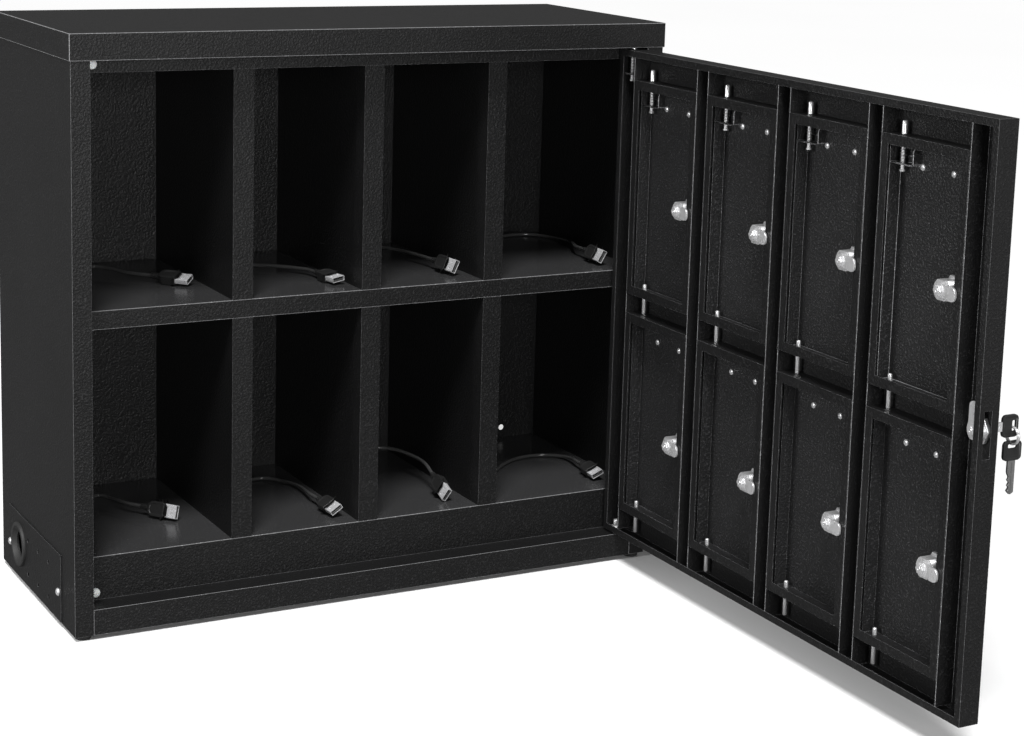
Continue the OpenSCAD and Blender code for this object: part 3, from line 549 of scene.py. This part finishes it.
gripMaster = makeGrip(plugSettings)
shellMaster, tongueMaster = makeShell(plugSettings)
for number in range(1, 9):
    lead, points, long = makeLead(leadSettings, number)
    place = plugPlace(leadSettings, number, points)
    grip = settle(copyOf(gripMaster, f"plugGrip{number}"), place, "plastic", "cabinet", "black_plastic", "plug_grips")
    shell = settle(copyOf(shellMaster, f"plugShell{number}"), place, "shell", "cabinet", "plug_metal", "plug_shells")
    tongue = settle(copyOf(tongueMaster, f"plugTongue{number}"), place, "tongue", "cabinet", "black_plastic")
    tuple(points[0] * mm)
for master in (gripMaster, shellMaster, tongueMaster):
    bpy.data.objects.remove(master)

# Sheet metal: the imported sheets, merged, with their folds and cut edges rounded, and the rounded strips coloured
# lighter as a painted highlight
print("stage: sheet metal")
sheetSettings = {"fold": 0.5, "thinFold": 0.4, "segments": 2}


def dressSheet(node, name, finish="coat", fold="foldPaintedHighlight", width=None):
    source = frame["nodes"][node]
    twin = bpy.data.objects.new(name, source.data.copy())
    bpy.context.collection.objects.link(twin)
    openMesh(twin)
    bpy.ops.mesh.select_all(action="SELECT")
    bpy.ops.mesh.remove_doubles(threshold=0.000002)
    bpy.ops.mesh.select_all(action="SELECT")
    bpy.ops.mesh.dissolve_limited(angle_limit=math.radians(0.5))
    closeMesh()
    if node.startswith("small_door"):
        twin = keepLargest(twin, name)
    twin.data.materials.clear()
    twin.data.materials.append(finishes[finish])
    twin.data.materials.append(finishes[fold])
    # the bevel strips take the second slot, the lighter edge coat passed as fold: a painted highlight on each edge
    soften(twin, (width or sheetSettings["fold"]) * mm, sheetSettings["segments"], slot=1)
    # only the upward faces get the lighter smooth coat: painted light on the top faces
    if node in ("middle_shelf", "raised_floor"):
        twin.data.materials.append(finishes["smoothCoatPaintedTopLight"])
        for face in twin.data.polygons:
            if face.normal.z > 0.9 and face.material_index == 0:
                face.material_index = 2
    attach(twin, source["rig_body"])
    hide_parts(node)
    return twin


def keepLargest(obj, name):
    before = set(bpy.data.objects)
    selectOnly(obj)
    bpy.ops.object.mode_set(mode="EDIT")
    bpy.ops.mesh.select_all(action="SELECT")
    bpy.ops.mesh.separate(type="LOOSE")
    closeMesh()
    parts = [obj] + [o for o in bpy.data.objects if o not in before]
    parts.sort(key=lambda o: o.dimensions.length)
    for part in parts[:-1]:
        bpy.data.objects.remove(part)
    parts[-1].name = name
    return parts[-1]


for node, name, finish in (
        ("lid", "lidSheet", "coat"), ("left_side_panel", "leftSide", "coat"),
        ("right_side_panel", "rightSide", "coat"), ("back_panel", "backSheet", "coat"),
        ("base_pan", "basePan", "coat"), ("raised_floor", "raisedFloor", "coat"),
        ("middle_shelf", "middleShelf", "coat"), ("dividers", "dividerSheets", "coat"),
        ("top_header", "topHeader", "coat"), ("service_cover", "serviceCover", "coat")):
    dressSheet(node, name, finish)
# the door skin takes the fold coat, the stiles, frames and small doors the rim coat, on their bevel strips: painted
# highlights
for node, name in (("door_skin", "doorSkin"), ("door_stiles", "doorStiles"), ("opening_frames", "openingFrames")):
    dressSheet(node, name, "coat", "foldPaintedHighlight" if node == "door_skin" else "rimPaintedHighlight", sheetSettings["thinFold"])
for number in range(1, 9):
    dressSheet(f"small_door_{number}", f"smallDoor{number}", "panCoat", "rimPaintedHighlight", sheetSettings["thinFold"])

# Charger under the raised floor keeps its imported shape
charger = frame["nodes"]["usb_charger"]
charger.data.materials.clear()
charger.data.materials.append(finishes["plastic"])

# Rubber and small cabinet fittings
print("stage: fittings")
fittingSettings = {
    "bumpers": ((-251.0, 208.0, 3.0), (-251.0, -236.0, 4.2)), "bumperY": -201.7,
    "feetX": 266.0, "feetY": (-211.0, -9.0), "baseZ": -265.0, "footTall": 4.0, "footR": 7.0,
    "entry": (-276.0, -57.0, -233.5), "coverX": -276.0, "screwY": (-175.5, -29.0), "screwZ": -239.0,
    "bushR": 5.5, "bushT": 1.5,
}


def alongX(x, y, z, flip=False):
    # local Z along +X, or along -X when flipped
    turn = Matrix.Rotation(-math.pi / 2 if flip else math.pi / 2, 4, "Y")
    return Matrix.Translation(Vector((x, y, z)) * mm) @ turn


def makeFittings(s):
    for k, (x, z, long) in enumerate(s["bumpers"]):
        dome = smooth(turned("dome", [(0, 0), (1.6, 0.15), (2.8, 0.6), (3.6, 1.3), (4.0, 2.2), (4.0, long), (0, long)], 32))
        place = Matrix.Translation(Vector((x, s["bumperY"], z)) * mm) @ Matrix.Rotation(-math.pi / 2, 4, "X")
        settle(dome, place, "bumper", "cabinet", "white_bumper", "door_bumpers").name = f"doorBumper{k + 1}"
    tall, r = s["footTall"], s["footR"]
    foot = smooth(turned("foot", [(0, 0.6), (2.2, 0.6), (2.6, 0), (r - 0.8, 0), (r - 0.2, 0.5), (r, 1.2), (r, tall - 0.2),
                                  (r - 0.2, tall), (0, tall)], 36))
    spots = [(x, y) for x in (-s["feetX"], s["feetX"]) for y in s["feetY"]]
    scatter(foot, [(k + 1, Matrix.Translation(Vector((x, y, s["baseZ"] - tall)) * mm), "cabinet")
                   for k, (x, y) in enumerate(spots)], "rubberFoot", "rubber", "black_rubber", ["rubber_feet"])
    ring = [(12, 3.0), (12, 1.4), (13.2, 0.9), (15.6, -1.4), (16.2, -2.2), (17.2, -2.5), (18.9, -2.45), (19.7, -2.0),
            (20, -1.2), (20, 0), (16, 0.02), (16, 3.0), (12, 3.0)]
    entry = smooth(turned("entry", ring, 64), 35)
    settle(entry, alongX(*s["entry"]), "rubber", "cabinet", "black_rubber", "cable_grommets").name = "mainsGrommet"
    bush = smooth(turned("bush", [(0, -2.0), (4, -2.0), (4, -0.02), (5.4, 0.0), (5.5, 0.5), (5.2, 1.2), (4.6, 1.5), (2.4, 1.5),
                                  (2.0, 1.25), (1.75, 0.6), (0, 0.6)], 36))
    places = []
    for number in range(1, 9):
        exitPoint = leadRoute(leadSettings, number)[0]
        places.append((number, alongX(exitPoint.x - s["bushT"], exitPoint.y, exitPoint.z), "cabinet"))
    scatter(bush, places, "leadBush", "rubber", "black_rubber", ["cable_grommets"])
    head = turned("head", [(0, -2.0), (1.4, -1.95), (2.4, -1.6), (3.1, -1.0), (3.4, -0.35), (3.4, 0), (1.75, 0.02), (1.75, 4.2),
                           (1.2, 5.1), (0, 5.1)], 40)
    carve(head, block("cut", (-1.9, -0.35, -3), (1.9, 0.35, -1.1)))
    carve(head, block("cut", (-0.35, -1.9, -3), (0.35, 1.9, -1.1)))
    smooth(head, 35)
    scatter(head, [(k + 1, alongX(s["coverX"], y, s["screwZ"]), "cabinet") for k, y in enumerate(s["screwY"])],
            "coverScrew", "nickel", "nickel", ["cover_screws"])


makeFittings(fittingSettings)

# Locks and cams of the small doors
print("stage: locks")
lockSettings = {"barrelR": 9.0, "headR": 11.0, "headT": 3.0, "barrelEnd": 16.3, "flat": 7.6, "pitch": 1.1, "thread": 0.4,
                "plugR": 5.0, "seat": 1.05, "nutT": 3.0, "camBase": 16.4, "camStep": 2.0, "camT": 2.0,
                "camWide": 11.0, "camReach": 20.5, "mainReach": 22.0, "nutR": 5.0, "nutEnd": 21.3}


def makeBarrel(s, end, seat, name, plug=True):
    r, t = s["barrelR"], s["thread"]
    # head outside the face, then the threaded barrel with two flats
    profile = [(0, -s["headT"])] if plug else [(s["plugR"] + 0.15, end), (s["plugR"] + 0.15, -s["headT"] + 0.3)]
    profile += [(s["plugR"] + 0.4, -s["headT"]), (8.6, -s["headT"]), (9.4, -s["headT"] + 0.25), (10.4, -1.6), (s["headR"], -0.7), (s["headR"], -0.06),
                (r, -0.05), (r, seat)]
    z = seat + s["nutT"]
    profile += [(r, z)]
    while z + s["pitch"] < end - 0.6:
        profile += [(r - t, z + s["pitch"] / 2), (r, z + s["pitch"])]
        z += s["pitch"]
    profile += [(r, end - 0.5), (r - 0.5, end), (0, end)] if plug else [(r, end - 0.4), (r - 0.4, end), (s["plugR"] + 0.15, end)]
    barrel = turned(name, profile, 56)
    for side in (-1, 1):
        cutter = block("flat", (-12, min(side * s["flat"], side * 12), seat + s["nutT"]), (12, max(side * s["flat"], side * 12), end + 1))
        carve(barrel, cutter)
    smooth(barrel, 32)
    nut = prism("nut", 6, s["headR"], seat, seat + s["nutT"], math.pi / 6)
    openMesh(nut)
    pick(nut, "FACE", lambda f: f.normal.z > 0.9)
    bpy.ops.mesh.inset(thickness=0.7, depth=0.35)
    closeMesh()
    soften(nut, 0.25, 2, 20)
    return joinAll(name, [barrel, nut])


def makePlug(s, name, depth):
    # face of the plug with its key slot
    face = turned(name, [(0, -s["headT"] - 0.02), (s["plugR"] - 0.5, -s["headT"] - 0.02), (s["plugR"] - 0.1, -s["headT"] + 0.35),
                         (s["plugR"] - 0.1, depth), (0, depth)], 40)
    carve(face, block("slot", (-0.7, -3.4, -s["headT"] - 1), (0.7, 3.4, -s["headT"] + 2.2)))
    return smooth(face, 35)


def makeCam(s, reach, step, name):
    half = s["camWide"] / 2
    arm = block("arm", (-half, -half, 0), (reach, half, s["camT"]))
    arm.name = "arm"
    openMesh(arm)
    for x in (9.6, 11.4):
        bpy.ops.mesh.select_all(action="SELECT")
        bpy.ops.mesh.bisect(plane_co=(x, 0, 0), plane_no=(1, 0, 0))
    if step:
        pick(arm, "VERT", lambda v: v.co.x > 11)
        bpy.ops.transform.translate(value=(0, 0, step))
    pick(arm, "EDGE", lambda e: along(e, 2) and middle(e).x < -half + 0.1)
    bpy.ops.mesh.bevel(offset=half - 0.05, segments=10, affect="EDGES")
    pick(arm, "EDGE", lambda e: along(e, 2) and middle(e).x > reach - 0.1)
    bpy.ops.mesh.bevel(offset=4.2, segments=6, affect="EDGES")
    closeMesh()
    soften(arm, 0.42, 3, 25)
    top = s["nutEnd"] - s["camBase"] - 0.7
    washer = smooth(turned("washer", [(0, s["camT"]), (5.5, s["camT"]), (5.6, s["camT"] + 0.1), (5.5, s["camT"] + 0.45),
                                      (0, s["camT"] + 0.45)], 40), 30)
    nut = prism("nut", 6, s["nutR"] - 0.6, s["camT"] + 0.45, top - 0.3, math.pi / 6)
    openMesh(nut)
    pick(nut, "FACE", lambda f: f.normal.z > 0.9)
    bpy.ops.mesh.inset(thickness=0.7, depth=0.25)
    closeMesh()
    soften(nut, 0.15, 2, 18)
    stud = smooth(turned("stud", [(0, top - 0.5), (0.7, top - 0.4), (1.0, top + 0.1), (1.7, top + 0.2), (2.2, top - 0.1),
                                  (2.3, top - 0.8), (0, top - 0.8)], 28), 30)
    return joinAll(name, [arm, washer, nut, stud])


def makeSmallLocks(s, d):
    spots = []
    for number in range(1, 9):
        column, row = bay(number)
        spots.append((number, d["columns"][column] + d["lockU"], d["tops"][row] - d["lockDrop"]))
    scatter(makeBarrel(s, s["barrelEnd"], s["seat"], "barrel"),
            [(n, onDoor(u, 0, z), f"small_door_{n}") for n, u, z in spots], "lockBody", "nickel", "nickel")
    scatter(makePlug(s, "plugFace", -0.6), [(n, onDoor(u, 0, z), f"cam_{n}") for n, u, z in spots],
            "lockPlug", "nickel", "nickel")
    cam = makeCam(s, s["camReach"], s["camStep"], "cam")
    for n, u, z in spots:
        settle(copyOf(cam, f"camArm{n}"), onDoor(u, s["camBase"], z), "nickel", f"cam_{n}", "nickel", f"cam_{n}")
    bpy.data.objects.remove(cam)


makeSmallLocks(lockSettings, doorSettings)


def makeMainLock(s, d):
    at = onDoor(d["mainLockU"], 0, d["mainLockZ"])
    settle(makeBarrel(s, 9.0, 2.0, "mainLockBody", False), at, "nickel", "main_door", "nickel", "main_lock_body")
    base = 9.1
    arm = makeCam(dict(s, camBase=base, nutEnd=14.0, nutR=4.4, camWide=10.5), s["mainReach"], 0, "mainCam")
    arm.data.transform(Matrix.Translation((0, 0, base)) @ Matrix.Rotation(math.pi / 2, 4, "Z"))
    plug = makePlug(s, "mainPlug", base)
    settle(joinAll("mainCam", [arm, plug]), at, "nickel", "main_lock", "nickel", "main_lock_cam")


makeMainLock(lockSettings, doorSettings)

# Keys and their ring
print("stage: keys")
keySettings = {"bowLong": 15.0, "bowTall": 17.0, "bowThick": 2.4, "round": 3.5, "holeR": 2.2, "holeIn": 4.0, "shank": 13.5,
               "blade": 26.0, "bladeTall": 7.0, "bladeThick": 1.8, "ringR": 6.5, "wireR": 0.7, "slotLong": 8.4, "slotTall": 3.4, "headT": 3.0, "ringDrop": 1.3}


def makeKey(s, reach, name, teeth):
    # blade from the origin along X, then the bow, in the plane of X and Y
    tall, thick = s["bowTall"] / 2, s["bowThick"] / 2
    bow = block(name + "Bow", (reach, -tall, -thick), (reach + s["bowLong"], tall, thick))
    openMesh(bow)
    pick(bow, "EDGE", lambda e: along(e, 2))
    bpy.ops.mesh.bevel(offset=s["round"], segments=6, affect="EDGES")
    pick(bow, "FACE", lambda f: abs(f.normal.z) > 0.9)
    bpy.ops.mesh.inset(thickness=1.5, depth=0)
    bpy.ops.mesh.inset(thickness=0.4, depth=-0.3)
    closeMesh()
    slot = block("slot", (-s["slotTall"] / 2, -s["slotLong"] / 2, -3), (s["slotTall"] / 2, s["slotLong"] / 2, 3))
    openMesh(slot)
    pick(slot, "EDGE", lambda e: along(e, 2))
    bpy.ops.mesh.bevel(offset=1.3, segments=4, affect="EDGES")
    closeMesh()
    slot.data.transform(Matrix.Translation((reach + s["bowLong"] - s["holeIn"], 0, 0)))
    carve(bow, slot)
    soften(bow, 0.25, 2, 28)
    half, flat = s["bladeTall"] / 2, s["bladeThick"] / 2
    blade = block(name + "Blade", (0, -half, -flat), (reach + 1, half, flat))
    openMesh(blade)
    if teeth:
        for x in (1.5, 3.0, 5.2, 7.0, 9.2, 11.0, 13.2, 15.0, 17.0):
            bpy.ops.mesh.select_all(action="SELECT")
            bpy.ops.mesh.bisect(plane_co=(x, 0, 0), plane_no=(1, 0, 0))
        bites = {0.0: 3.4, 1.5: 1.6, 3.0: 0.6, 5.2: 2.2, 7.0: 1.1, 9.2: 2.4, 11.0: 0.7, 13.2: 1.9, 15.0: 0.9, 17.0: 0.0}
        for x, bite in bites.items():
            pick(blade, "VERT", lambda v: abs(v.co.x - x) < 0.05 and v.co.y > 0)
            bpy.ops.transform.translate(value=(0, -bite, 0))
        pick(blade, "VERT", lambda v: v.co.x < 0.05 and v.co.y < 0)
        bpy.ops.transform.translate(value=(0, 2.6, 0))
    closeMesh()
    groove = block("groove", (-1, -0.6, flat - 0.45), (reach - 1.5, 0.7, flat + 1))
    carve(blade, groove)
    soften(blade, 0.15, 2, 28)
    return bow, blade


def makeKeys(s, d):
    inHole = -s["headT"] - s["shank"] - s["bowLong"] + s["holeIn"]
    # local X of the key points out of the door, and its plane stands upright
    outward = Matrix(((1, 0, 0, 0), (0, 0, -1, 0), (0, 1, 0, 0), (0, 0, 0, 1)))
    bow, blade = makeKey(s, s["shank"], "mainKey", False)
    place = Matrix.Translation(doorPoint(d["mainLockU"], -s["headT"], d["mainLockZ"])) @ outward
    settle(bow, place, "bow", "main_lock", "key_black", "main_key")
    settle(blade, place, "nickel", "main_lock", "nickel")
    # split ring: one wire wound twice, its turns side by side
    curve = bpy.data.curves.new("keyRing", "CURVE")
    curve.dimensions = "3D"
    curve.bevel_depth = s["wireR"]
    curve.bevel_resolution = 4
    curve.use_fill_caps = True
    spline = curve.splines.new("POLY")
    spline.points.add(127)
    for k in range(128):
        turn = 2 * math.tau * k / 127
        lean = 0.72 * math.tanh(4 * (k / 127 - 0.5) * 3)
        spline.points[k].co = (s["ringR"] * math.cos(turn + 2.2), s["ringR"] * math.sin(turn + 2.2), lean, 1)
    ring = bpy.data.objects.new("keyRing", curve)
    bpy.context.collection.objects.link(ring)
    selectOnly(ring)
    bpy.ops.object.convert(target="MESH")
    ring = smooth(bpy.context.object, 60)
    middleZ = d["mainLockZ"] - s["ringDrop"] - s["ringR"]
    settle(ring, onDoor(d["mainLockU"], inHole, middleZ), "nickel", "ring", "spring_steel", "key_ring")
    bow, blade = makeKey(s, s["blade"], "spareKey", True)
    hangZ = d["mainLockZ"] - 2 * s["ringDrop"] - 2 * s["ringR"] - s["blade"] - s["bowLong"] + s["holeIn"]
    upward = Matrix(((0, -1, 0, 0), (0, 0, -1, 0), (1, 0, 0, 0), (0, 0, 0, 1)))
    place = Matrix.Translation(doorPoint(d["mainLockU"], inHole, hangZ)) @ upward
    settle(bow, place, "bow", "spare", "key_black", "spare_key")
    settle(blade, place, "steel", "spare", "nickel")


makeKeys(keySettings, doorSettings)

# Hinge pins, fixed and sprung, and the coils
print("stage: pins")
pinSettings = {"fixed": ((-236, -206), (-37, -1)), "tip": 10.0, "mainTip": 6.0,
               "collarDrop": 3.6, "collarT": 1.4, "tail": 29.0, "ledge": 22.0, "wire": 0.5, "turns": 8}


def makeRod(name, low, high, r):
    return smooth(turned(name, [(0, low), (r - 0.5, low), (r - 0.1, low + 0.35), (r, low + 0.8), (r, high - 0.8),
                                (r - 0.1, high - 0.35), (r - 0.5, high), (0, high)], 32))


def makeSprungPin(name, r, tip, collar, tail):
    # the rod is slimmer below its collar, inside the coil
    out, rod = r + 1.2, r - 0.5
    profile = [(0, tail), (rod + 0.3, tail), (rod + 0.6, tail + 0.3), (rod + 0.6, tail + 1.3), (rod + 0.3, tail + 1.6),
               (rod, tail + 1.6), (rod, collar - 1.4), (out - 0.2, collar - 1.4), (out, collar - 1.2), (out, collar - 0.2),
               (out - 0.2, collar),
               (r, collar), (r, tip - 1.0), (r - 0.35, tip - 0.4), (r - 0.8, tip), (0, tip)]
    return smooth(turned(name, profile, 36), 35)


def makeCoil(name, s, low, high, r):
    curve = bpy.data.curves.new(name, "CURVE")
    curve.dimensions = "3D"
    curve.bevel_depth = s["wire"] / 2
    curve.bevel_resolution = 3
    curve.use_fill_caps = True
    count = s["turns"] * 20
    spline = curve.splines.new("POLY")
    spline.points.add(count)
    for k in range(count + 1):
        share = k / count
        # both ends lie flat for the first and last half turn
        lift = min(max((share * s["turns"] - 0.5) / (s["turns"] - 1), 0), 1)
        turn = math.tau * share * s["turns"]
        spline.points[k].co = (r * math.cos(turn), r * math.sin(turn),
                               low + s["wire"] / 2 + (high - low - s["wire"]) * lift, 1)
    coil = bpy.data.objects.new(name, curve)
    bpy.context.collection.objects.link(coil)
    selectOnly(coil)
    bpy.ops.object.convert(target="MESH")
    return smooth(bpy.context.object, 60)


def makeTab(s, d):
    # upstand at the ledge's latch end, whose edge shows beside the first rivet; its rounded strip carries the rim
    # coat's painted highlight
    tab = block("tab", (0, 0, 0), (1.0, 12.5, 8.0))
    openMesh(tab)
    pick(tab, "EDGE", lambda e: along(e, 0) and middle(e).z > 7 and middle(e).y > 12)
    bpy.ops.mesh.bevel(offset=3.0, segments=5, affect="EDGES")
    closeMesh()
    tab.data.materials.append(finishes["panCoat"])
    tab.data.materials.append(finishes["rimPaintedHighlight"])
    soften(tab, 0.3, 2, slot=1)
    for number in range(1, 5):
        u = d["columns"][number - 1] + 26.6
        settle(copyOf(tab, f"pinTab{number}"), onDoor(u, 1.02, d["tops"][0] - s["ledge"] + 0.05), None,
               f"small_door_{number}", "powder_coat")
    bpy.data.objects.remove(tab)


def makePins(s, d):
    makeTab(s, d)
    for column in range(4):
        for row, (low, high) in enumerate(s["fixed"]):
            rod = makeRod(f"hingePin{column * 2 + row + 1}", low, high, 1.7)
            settle(rod, upright(d["columns"][column] + d["pinU"], d["pinN"], 0), "nickel", "main_door", "nickel", "hinge_pins")
    foot = turned("footPin", [(0, -246.2), (1.9, -246.2), (2.5, -245.6), (2.5, -240), (4.3, -240), (4.5, -239.8), (4.5, -238.2),
                              (4.3, -238), (2.5, -238), (2.5, -232.6), (2.0, -232), (0, -232)], 36)
    settle(smooth(foot), upright(d["mainPinU"], d["mainPinN"], 0), "nickel", "main_door", "nickel", "hinge_pins")
    for number in range(1, 5):
        top = d["tops"][0]
        u = d["columns"][number - 1] + d["pinU"]
        pin = makeSprungPin(f"doorPin{number}", 2.0, top + s["tip"], top - s["collarDrop"], top - s["tail"])
        settle(pin, upright(u, d["pinN"], 0), "nickel", f"latch_pin_{number}", "nickel", f"door_pin_{number}")
        low, high = top - s["ledge"], top - s["collarDrop"] - s["collarT"]
        coil = makeCoil(f"pinCoil{number}", s, low, high, 2.3)
        settle(coil, upright(u, d["pinN"], 0), "steel", f"small_door_{number}", "spring_steel", f"pin_spring_{number}")
        tuple(doorPoint(u, d["pinN"], low))
        1 - 11.5 / (high - low)
        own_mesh(coil)
    top = 211.0
    pin = makeSprungPin("mainPin", 2.5, top + s["mainTip"], top - 1.1, top - s["tail"])
    settle(pin, upright(d["mainPinU"], d["mainPinN"], 0), "nickel", "main_latch_pin", "nickel", "main_pin")
    low, high = top - s["ledge"], top - 1.1 - s["collarT"]
    coil = makeCoil("mainCoil", s, low, high, 2.8)
    settle(coil, upright(d["mainPinU"], d["mainPinN"], 0), "steel", "main_door", "spring_steel", "main_pin_spring")
    tuple(doorPoint(d["mainPinU"], d["mainPinN"], low))
    1 - 6.0 / (high - low)
    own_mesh(coil)


makePins(pinSettings, doorSettings)

# Number plates with their rivets, and the weld specks on the small doors' latch walls, coloured with painted glints
print("stage: plates")
plateSettings = {"long": 48.0, "tall": 18.0, "thick": 0.8, "rivetPitch": 36.0, "rivetR": 2.6, "digit": 12.0}


def makePlates(s, d):
    plate = block("plate", (-s["long"] / 2, -s["tall"] / 2, -s["thick"]), (s["long"] / 2, s["tall"] / 2, -0.05))
    openMesh(plate)
    pick(plate, "EDGE", lambda e: along(e, 2))
    bpy.ops.mesh.bevel(offset=2.2, segments=5, affect="EDGES")
    pick(plate, "FACE", lambda f: f.normal.z < -0.9)
    bpy.ops.mesh.inset(thickness=0.9, depth=0)
    bpy.ops.mesh.inset(thickness=0.25, depth=-0.15)
    closeMesh()
    soften(plate, 0.12, 2)
    spots = [(n, d["columns"][bay(n)[0]] + d["plateU"], d["tops"][bay(n)[1]] - d["plateDrop"]) for n in range(1, 9)]
    scatter(plate, [(n, onDoor(u, 0, z), f"small_door_{n}") for n, u, z in spots], "numberPlate", "plate", "nickel")
    # the rivet's head on the inner side, its shank, and its low dome on the plate
    shape = [(0, -1.5), (1.3, -1.4), (2.1, -1.1), (2.4, -0.8), (1.6, -0.78), (1.6, 1.05), (2.5, 1.06), (2.6, 1.3), (2.3, 1.85), (1.5, 2.25), (0.5, 2.4),
             (0.4, 1.9), (0, 1.85)]
    rivet = smooth(turned("rivet", shape, 28))
    places = []
    for n, u, z in spots:
        for k in (-1, 1):
            places.append((f"{n}{'ab'[k > 0]}", onDoor(u + k * s["rivetPitch"] / 2, 0, z), f"small_door_{n}"))
    scatter(rivet, places, "plateRivet", "nickel", "nickel")
    for n, u, z in spots:
        bpy.ops.object.text_add()
        digit = bpy.context.object
        digit.data.body = str(n)
        digit.data.size = s["digit"]
        digit.data.extrude = 0.06
        digit.data.align_x = "CENTER"
        digit.data.align_y = "CENTER"
        bpy.ops.object.convert(target="MESH")
        digit = bpy.context.object
        digit.name = f"plateNumber{n}"
        # seen from the front, so the figure is turned to face outwards
        face = onDoor(u, -s["thick"] + 0.1, z) @ Matrix.Rotation(math.pi, 4, "Y")
        settle(digit, face, "ink", f"small_door_{n}", "nickel")


makePlates(plateSettings, doorSettings)


def makeSpecks(d):
    random.seed(11)
    for number in range(1, 9):
        column, row = bay(number)
        blobs = []
        for centre, spread in ((60, 12), (88, 9), (118, 5)):
            for k in range(9):
                bpy.ops.mesh.primitive_ico_sphere_add(subdivisions=2, radius=1)
                blob = bpy.context.object
                for v in blob.data.vertices:
                    v.co *= 1 + 0.5 * (random.random() - 0.5)
                size = random.uniform(0.7, 1.4)
                onWall = random.random() < 0.5
                u = 97.7 if onWall else 83 - random.uniform(0, 7)
                n = random.uniform(10.0, 11.2) if onWall else 1.1
                flat = (0.6, 1) if onWall else (1, 0.5)
                tall = d["tops"][row] - centre + random.uniform(-spread, spread)
                squeeze = Matrix.Diagonal((size * flat[1], size * flat[0], size * random.uniform(0.7, 1.9), 1))
                blob.data.transform(Matrix.Translation(doorPoint(d["columns"][column] + u, n, tall) / mm) @ squeeze)
                blobs.append(blob)
        specks = smooth(joinAll(f"weldSpecks{number}", blobs), 60)
        # the specks take the light rim coat: painted glints on them
        settle(specks, Matrix.Identity(4), "rimPaintedHighlight", f"small_door_{number}", "powder_coat")


makeSpecks(doorSettings)

# Floor and lights
print("stage: studio")
studioSettings = {
    "floorZ": -0.2692, "floorSize": 24, "air": 0.14,
    "sun": (-0.25, -0.42, 0.87), "sunPower": 3.4, "sunSpread": 0.3,
    "softLights": (
        ("leftSoft", (-2.6, -0.3, 0.75), (0.2, -0.4, 0.0), 0.9, 52),
        ("frontSoft", (-0.5, -3.3, 0.5), (0.0, -0.1, 0.0), 0.8, 30),
        ("rightSoft", (1.8, -3.2, 0.3), (0.0, -0.2, 0.0), 2.2, 7),
    ),
}


def makeStudio(s):
    bpy.ops.mesh.primitive_plane_add(size=s["floorSize"], location=(0, 0, s["floorZ"]))
    floor = bpy.context.object
    floor.name = "studioFloor"
    floor.visible_glossy = False
    f = Finish("paleFloor")
    cloud = f.noise(0.6, 2)
    floor.data.materials.append(f.shade(f.blend(cloud, grey(0.88), grey(0.92)), 0.85 + (cloud - 0.5) * 0.05,
                                        Specular_IOR_Level=0.0))
    world = bpy.data.worlds.new("studioAir")
    bpy.context.scene.world = world
    world.use_nodes = True
    world.node_tree.nodes["Background"].inputs["Color"].default_value = (1, 1, 1, 1)
    world.node_tree.nodes["Background"].inputs["Strength"].default_value = s["air"]
    sun = bpy.data.lights.new("softSun", "SUN")
    sun.energy, sun.angle = s["sunPower"], s["sunSpread"]
    addLamp(sun, Vector(s["sun"]) * 3, (0, 0, 0))
    for name, place, aim, size, watts in s["softLights"]:
        lamp = bpy.data.lights.new(name, "AREA")
        lamp.size, lamp.energy = size, watts
        addLamp(lamp, place, aim)


def addLamp(lamp, place, aim):
    holder = bpy.data.objects.new(lamp.name, lamp)
    bpy.context.collection.objects.link(holder)
    holder.location = place
    holder.rotation_euler = (Vector(aim) - Vector(place)).to_track_quat("-Z", "Y").to_euler()
    holder.visible_camera = False


makeStudio(studioSettings)
